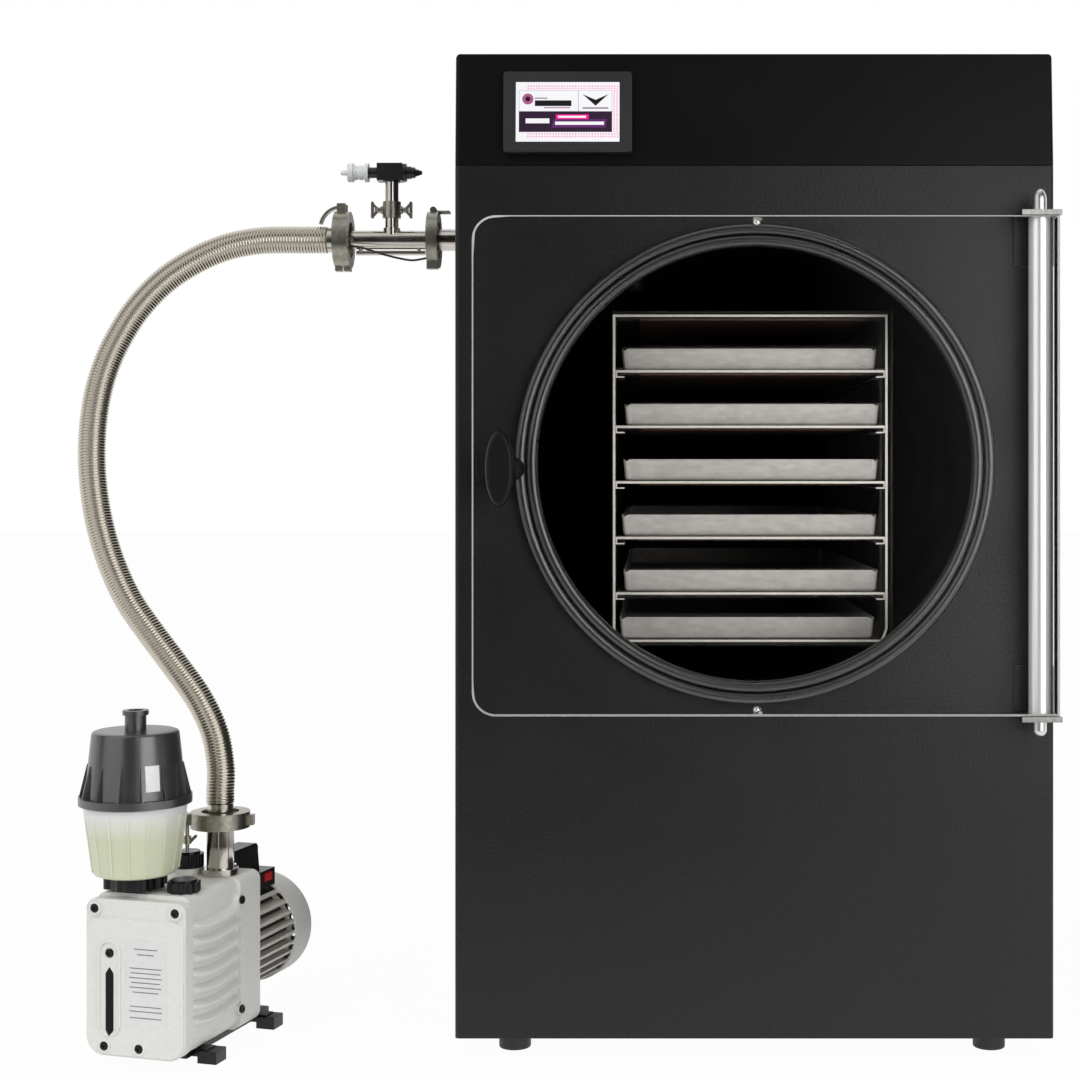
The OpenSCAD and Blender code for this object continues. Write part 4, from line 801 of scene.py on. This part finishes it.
# ---- Hinge, knob and latch
# A ground steel rod runs down through the satin bore in the door's right edge, between two folded
# brackets. A moulded oval knob turns a steel tongue behind the door.
hinge_metal = finish("satin hinge steel", (0.72, 0.71, 0.69), grain=(300, 300, 30), spread=(0.88, 1.08),
                     gloss=(0.26, 0.38), metallic=1.0)
eased("hinge_rod", "cabinet", hinge_metal, width=0.0003)
rod_low, rod_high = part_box("hinge_rod")
bore_radius = 0.0093
bore_metal = finish("satin bore of the door", (0.9, 0.9, 0.885), grain=(300, 300, 8), spread=(0.97, 1.03),
                    gloss=(0.16, 0.24), metallic=0.55, bump=0.0)
bpy.ops.mesh.primitive_cylinder_add(vertices=48, radius=bore_radius, depth=door_high.z - door_low.z - 0.001,
                                    end_fill_type="NOTHING",
                                    location=((rod_low.x + rod_high.x) / 2, (rod_low.y + rod_high.y) / 2,
                                              (door_low.z + door_high.z) / 2))
bore = bpy.context.object
bore.name = "door_bore"
fixed()
smoothed(30)
bore.data.materials.append(bore_metal)
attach(bore, "door")
bracket_steel = finish("dull plated bracket steel", (0.3, 0.3, 0.29), grain=(300, 300, 30),
                       spread=(0.85, 1.1), gloss=(0.3, 0.42), metallic=1.0)
brackets = eased("hinge_brackets", "cabinet", bracket_steel, width=0.0005)
brackets.data.materials.append(panel_coat)
plate_reach = 0.006
for face in brackets.data.polygons:
    if face.center.y > front_y - plate_reach:
        face.material_index = 1
eased("latch_cam", "latch", hinge_metal, width=0.0003)
knob_plastic = finish("black knob plastic", (0.0035, 0.0035, 0.004), grain=420, spread=(0.85, 1.15),
                      specular=0.25, bump=0.15)
eased("door_knob", "latch", knob_plastic, width=0.0004, angle=40)


# ---- Vacuum line
# Stainless tube with pressed flanges joined by clamps. The port comes out of the cabinet's side, a tee
# carries the vent valve upward, and the hose's end is held by a clamp with a spring bail.
tube_steel = finish("polished tube steel", (0.58, 0.55, 0.5), grain=60, spread=(0.9, 1.08),
                    gloss=(0.12, 0.24), metallic=1.0, bump=0.04)
cast_steel = finish("cast clamp steel", (0.36, 0.345, 0.29), grain=260, spread=(0.8, 1.12),
                    gloss=(0.26, 0.42), metallic=1.0, bump=0.4)
for part in ("vacuum_port", "manifold_tee", "hose_ends", "inlet_pipe"):
    tube = eased(part, "cabinet", tube_steel, width=0.0003)
    tube.data.materials.append(lining)
    for face in tube.data.polygons:
        if all(tube.data.vertices[k].co.x > 0 for k in face.vertices):
            face.material_index = 1
for part in ("port_clamp", "branch_clamp", "hose_clamp", "pump_clamp"):
    eased(part, "cabinet", cast_steel, width=0.0005)
for part, body in (("branch_screw_left", "left_screw"), ("branch_screw_right", "right_screw"),
                   ("pump_wing_nut", "inlet_wing_nut"), ("clamp_bail", "bail")):
    eased(part, body, cast_steel, width=0.0003)
valve_black = finish("black anodised valve", (0.012, 0.012, 0.013), grain=500, spread=(0.85, 1.15),
                     gloss=(0.25, 0.36))
eased("vent_valve", "cabinet", valve_black, width=0.0004)
filter_white = finish("white filter disc", (0.72, 0.74, 0.74), grain=300, spread=(0.95, 1.04),
                      gloss=(0.35, 0.45))
eased("vent_filter", "cabinet", filter_white, width=0.0004)


# ---- Vacuum pump
# Die-cast aluminium oil case with S-curved ribs, painted warm white, its front cover held by socket
# screws, and behind it a finned motor under a fan cover. It stands turned about its inlet.
casting_paint = finish("warm white casting paint", (0.75, 0.742, 0.712), grain=340, spread=(0.96, 1.03),
                       gloss=(0.42, 0.55), specular=0.4, bump=0.25)
motor_paint = finish("warm grey motor paint", (0.6, 0.57, 0.52), grain=340, spread=(0.92, 1.05),
                     gloss=(0.36, 0.5), bump=0.25)
# A near-black material is painted shade in the gaps between the motor's fins.
fin_gap_painted_shade = finish("painted shade between the fins", (0.03, 0.027, 0.024), grain=340, spread=(0.7, 1.3),
                   gloss=(0.6, 0.8))
dark_plastic = finish("black pump plastic", (0.005, 0.005, 0.005), grain=420, spread=(0.8, 1.2),
                      gloss=(0.24, 0.34), specular=0.35, bump=0.15)
switch_red = finish("red rocker plastic", (0.5, 0.012, 0.02), grain=400, gloss=(0.25, 0.35))
sight_black = finish("dark sight glass", (0.006, 0.006, 0.006), grain=300, spread=(0.8, 1.2),
                     gloss=(0.08, 0.14), specular=0.15, bump=0.02)
eased("oil_box", "cabinet", casting_paint, width=0.0006, angle=24)
eased("oil_cover", "cabinet", casting_paint, width=0.0009, segments=3)
motor = eased("motor_housing", "cabinet", motor_paint, width=0.0004)
motor.data.materials.append(fin_gap_painted_shade)
eased("fan_cover", "cabinet", casting_paint, width=0.0004)
for part, body in (("carry_handle", "cabinet"), ("pump_base", "cabinet"), ("filter_nut", "cabinet"),
                   ("oil_cap", "oil_filler_cap"), ("ballast_knob", "gas_ballast"),
                   ("motor_fan", "motor_rotor")):
    eased(part, body, dark_plastic, width=0.0007)
eased("power_switch", "switch", switch_red, width=0.0004)
eased("sight_glass", "cabinet", sight_black, width=0.0004)
pump_turn = math.radians(16)
inlet_axis = Vector((-0.311, -0.243, 0))
cover_from_inlet = Vector((-0.0227, -0.102, 0))
case_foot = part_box("oil_cover")[0].z
motor_axis_z = 0.075
fin_root = 0.0395
# Faces nearer the motor's axis than the fin roots, in the gaps between the fins, take the painted shade.
for face in motor.data.polygons:
    from_inlet = face.center - inlet_axis
    across = from_inlet.x * math.cos(pump_turn) - from_inlet.y * math.sin(pump_turn) - cover_from_inlet.x
    if math.hypot(across, face.center.z - motor_axis_z) < fin_root:
        face.material_index = 1


def on_pump(piece):
    """Puts a piece modelled in the pump's own frame, x across and y back from its cover, in its place."""
    alone(piece)
    fixed()
    bpy.ops.transform.translate(value=cover_from_inlet)
    bpy.ops.transform.rotate(value=pump_turn, orient_axis="Z", center_override=(0, 0, 0))
    bpy.ops.transform.translate(value=inlet_axis)
    fixed()
    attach(piece, "cabinet")


screw_steel = finish("black oxide screw", (0.014, 0.014, 0.014), grain=400, spread=(0.8, 1.2),
                     gloss=(0.28, 0.38), metallic=0.6)
washer_steel = finish("plain steel washer", (0.8, 0.79, 0.75), grain=300, gloss=(0.35, 0.45), metallic=0.3)
screw_radius = 0.0038
screw_height = 0.0034
socket_radius = 0.00175
washer_radius = 0.0046
washer_height = 0.0006
bpy.ops.mesh.primitive_cylinder_add(vertices=6, radius=screw_radius, depth=screw_height,
                                    rotation=(math.pi / 2, 0.3, 0))
screw = bpy.context.object
fixed()
bpy.ops.mesh.primitive_cylinder_add(vertices=6, radius=socket_radius, depth=0.004,
                                    rotation=(math.pi / 2, 0, 0), location=(0, -0.0022, 0))
cut_by(screw, "socket", bpy.context.object)
worked(screw, "eased edges", "BEVEL", width=0.0003, segments=2, limit_method="ANGLE",
       angle_limit=math.radians(40))
smoothed(30)
screw.data.materials.append(screw_steel)
bpy.ops.mesh.primitive_cylinder_add(vertices=28, radius=washer_radius, depth=washer_height,
                                    rotation=(math.pi / 2, 0, 0),
                                    location=(0, (screw_height - washer_height) / 2, 0))
washer = bpy.context.object
fixed()
washer.data.materials.append(washer_steel)
joined(screw, [washer])
cover_seat = -0.0011
side_seat = (0.0492, 0.092)
cover_screws = [(-0.038, 0.124), (0.038, 0.124), (-0.029, 0.0085), (0.004, 0.0085), (-0.024, 0.087)]
screw_places = [("cover_screw_%d" % (number + 1), (x, cover_seat, case_foot + z), 0)
                for number, (x, z) in enumerate(cover_screws)]
screw_places += [("side_screw_%d" % (number + 1), (*side_seat, case_foot + z), math.pi / 2)
                 for number, z in enumerate((0.116, 0.02))]
for name, place, turn in screw_places:
    copy = copy_of(screw, name)
    copy.location = place
    copy.rotation_euler = (0, 0, turn)
    on_pump(copy)
bpy.data.objects.remove(screw)
label_paper = finish("silver label film", (0.72, 0.72, 0.715), grain=200, spread=(0.97, 1.03),
                     gloss=(0.25, 0.35))
label_print = finish("grey label print", (0.2, 0.2, 0.2), grain=200, gloss=(0.35, 0.45))
label_size = (0.0398, 0.074)
label_film = 0.00016
label_x, label_y, label_z = 0.0102, -0.00172, case_foot + 0.063
print_y = -0.00183
bar_height = 0.0009
bpy.ops.mesh.primitive_cube_add(size=1, location=(label_x, label_y, label_z))
label = bpy.context.object
label.name = "cover_label"
label.scale = (label_size[0], label_film, label_size[1])
fixed()
label.data.materials.append(label_paper)
bars = []
for width, drop in ((0.022, 0.008), (0.016, 0.0125), (0.03, 0.024), (0.028, 0.028), (0.031, 0.032),
                    (0.027, 0.036), (0.03, 0.04), (0.024, 0.044), (0.029, 0.056), (0.031, 0.06),
                    (0.03, 0.0655)):
    bpy.ops.mesh.primitive_plane_add(size=1, rotation=(math.pi / 2, 0, 0),
                                     location=(label_x, print_y, label_z + label_size[1] / 2 - drop))
    bar = bpy.context.object
    bar.scale = (width, bar_height, 1)
    bar.data.materials.append(label_print)
    bars.append(bar)
joined(label, bars)
on_pump(label)


# ---- Exhaust filter
# A translucent polypropylene bowl with a pale element inside, and a dark ribbed dome with an outlet
# nozzle, screwed onto the oil case by a lobed nut. A small bare label is stuck on the dome.
bowl_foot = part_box("filter_bowl")[0].z
oil_level = bowl_foot + 0.034
oil_fade = 0.024
bowl_plastic, bowl_tree, bowl_shader = principled("translucent bowl plastic", (0.8, 0.82, 0.7), 0.3)
bowl_shader.inputs["Subsurface Weight"].default_value = 0.6
bowl_shader.inputs["Subsurface Radius"].default_value = (0.012, 0.012, 0.009)
bowl_shader.inputs["Subsurface Scale"].default_value = 0.5
bowl_place = add_node(bowl_tree, "TexCoord")
bowl_height = add_node(bowl_tree, "SeparateXYZ")
bowl_level = add_node(bowl_tree, "MapRange", {"From Min": oil_level, "From Max": oil_level + oil_fade})
bowl_tint = add_node(bowl_tree, "Mix", {"A": (0.66, 0.685, 0.5, 1), "B": (0.88, 0.885, 0.84, 1)},
                     data_type="RGBA")
wire(bowl_tree,
     (bowl_place.outputs["Object"], bowl_height.inputs[0]),
     (bowl_height.outputs["Z"], bowl_level.inputs["Value"]),
     (bowl_level.outputs["Result"], bowl_tint.inputs["Factor"]),
     (bowl_tint.outputs["Result"], bowl_shader.inputs["Base Color"]))
eased("filter_bowl", "cabinet", bowl_plastic, width=0.0004)
dome_plastic = finish("dark grey dome plastic", (0.028, 0.028, 0.03), grain=520, gloss=(0.26, 0.34),
                      specular=1.0, ior=1.65)
eased("filter_dome", "cabinet", dome_plastic, width=0.0005)
dome_low, dome_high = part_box("filter_dome")
label_bearing = math.radians(35.4)
label_distance = 0.06
label_height = 0.247
dome_label_size = (0.0122, 0.0215)
film_gap = 0.00025
film_thickness = 0.00012
label_film_white = finish("white label film", (0.82, 0.82, 0.82), grain=200, spread=(0.97, 1.03),
                          gloss=(0.35, 0.45))
bpy.ops.mesh.primitive_grid_add(
    x_subdivisions=14, y_subdivisions=14, size=1, rotation=(math.pi / 2, 0, label_bearing),
    location=((dome_low.x + dome_high.x) / 2 + label_distance * math.sin(label_bearing),
              (dome_low.y + dome_high.y) / 2 - label_distance * math.cos(label_bearing), label_height))
dome_label = bpy.context.object
dome_label.name = "dome_label"
dome_label.scale = (*dome_label_size, 1)
worked(dome_label, "stuck on the dome", "SHRINKWRAP", wrap_method="PROJECT", use_project_z=True,
       use_negative_direction=True, use_positive_direction=True, offset=film_gap,
       target=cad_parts["filter_dome"])
fixed()
worked(dome_label, "film", "SOLIDIFY", thickness=film_thickness)
smoothed(30)
dome_label.data.materials.append(label_film_white)
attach(dome_label, "cabinet")
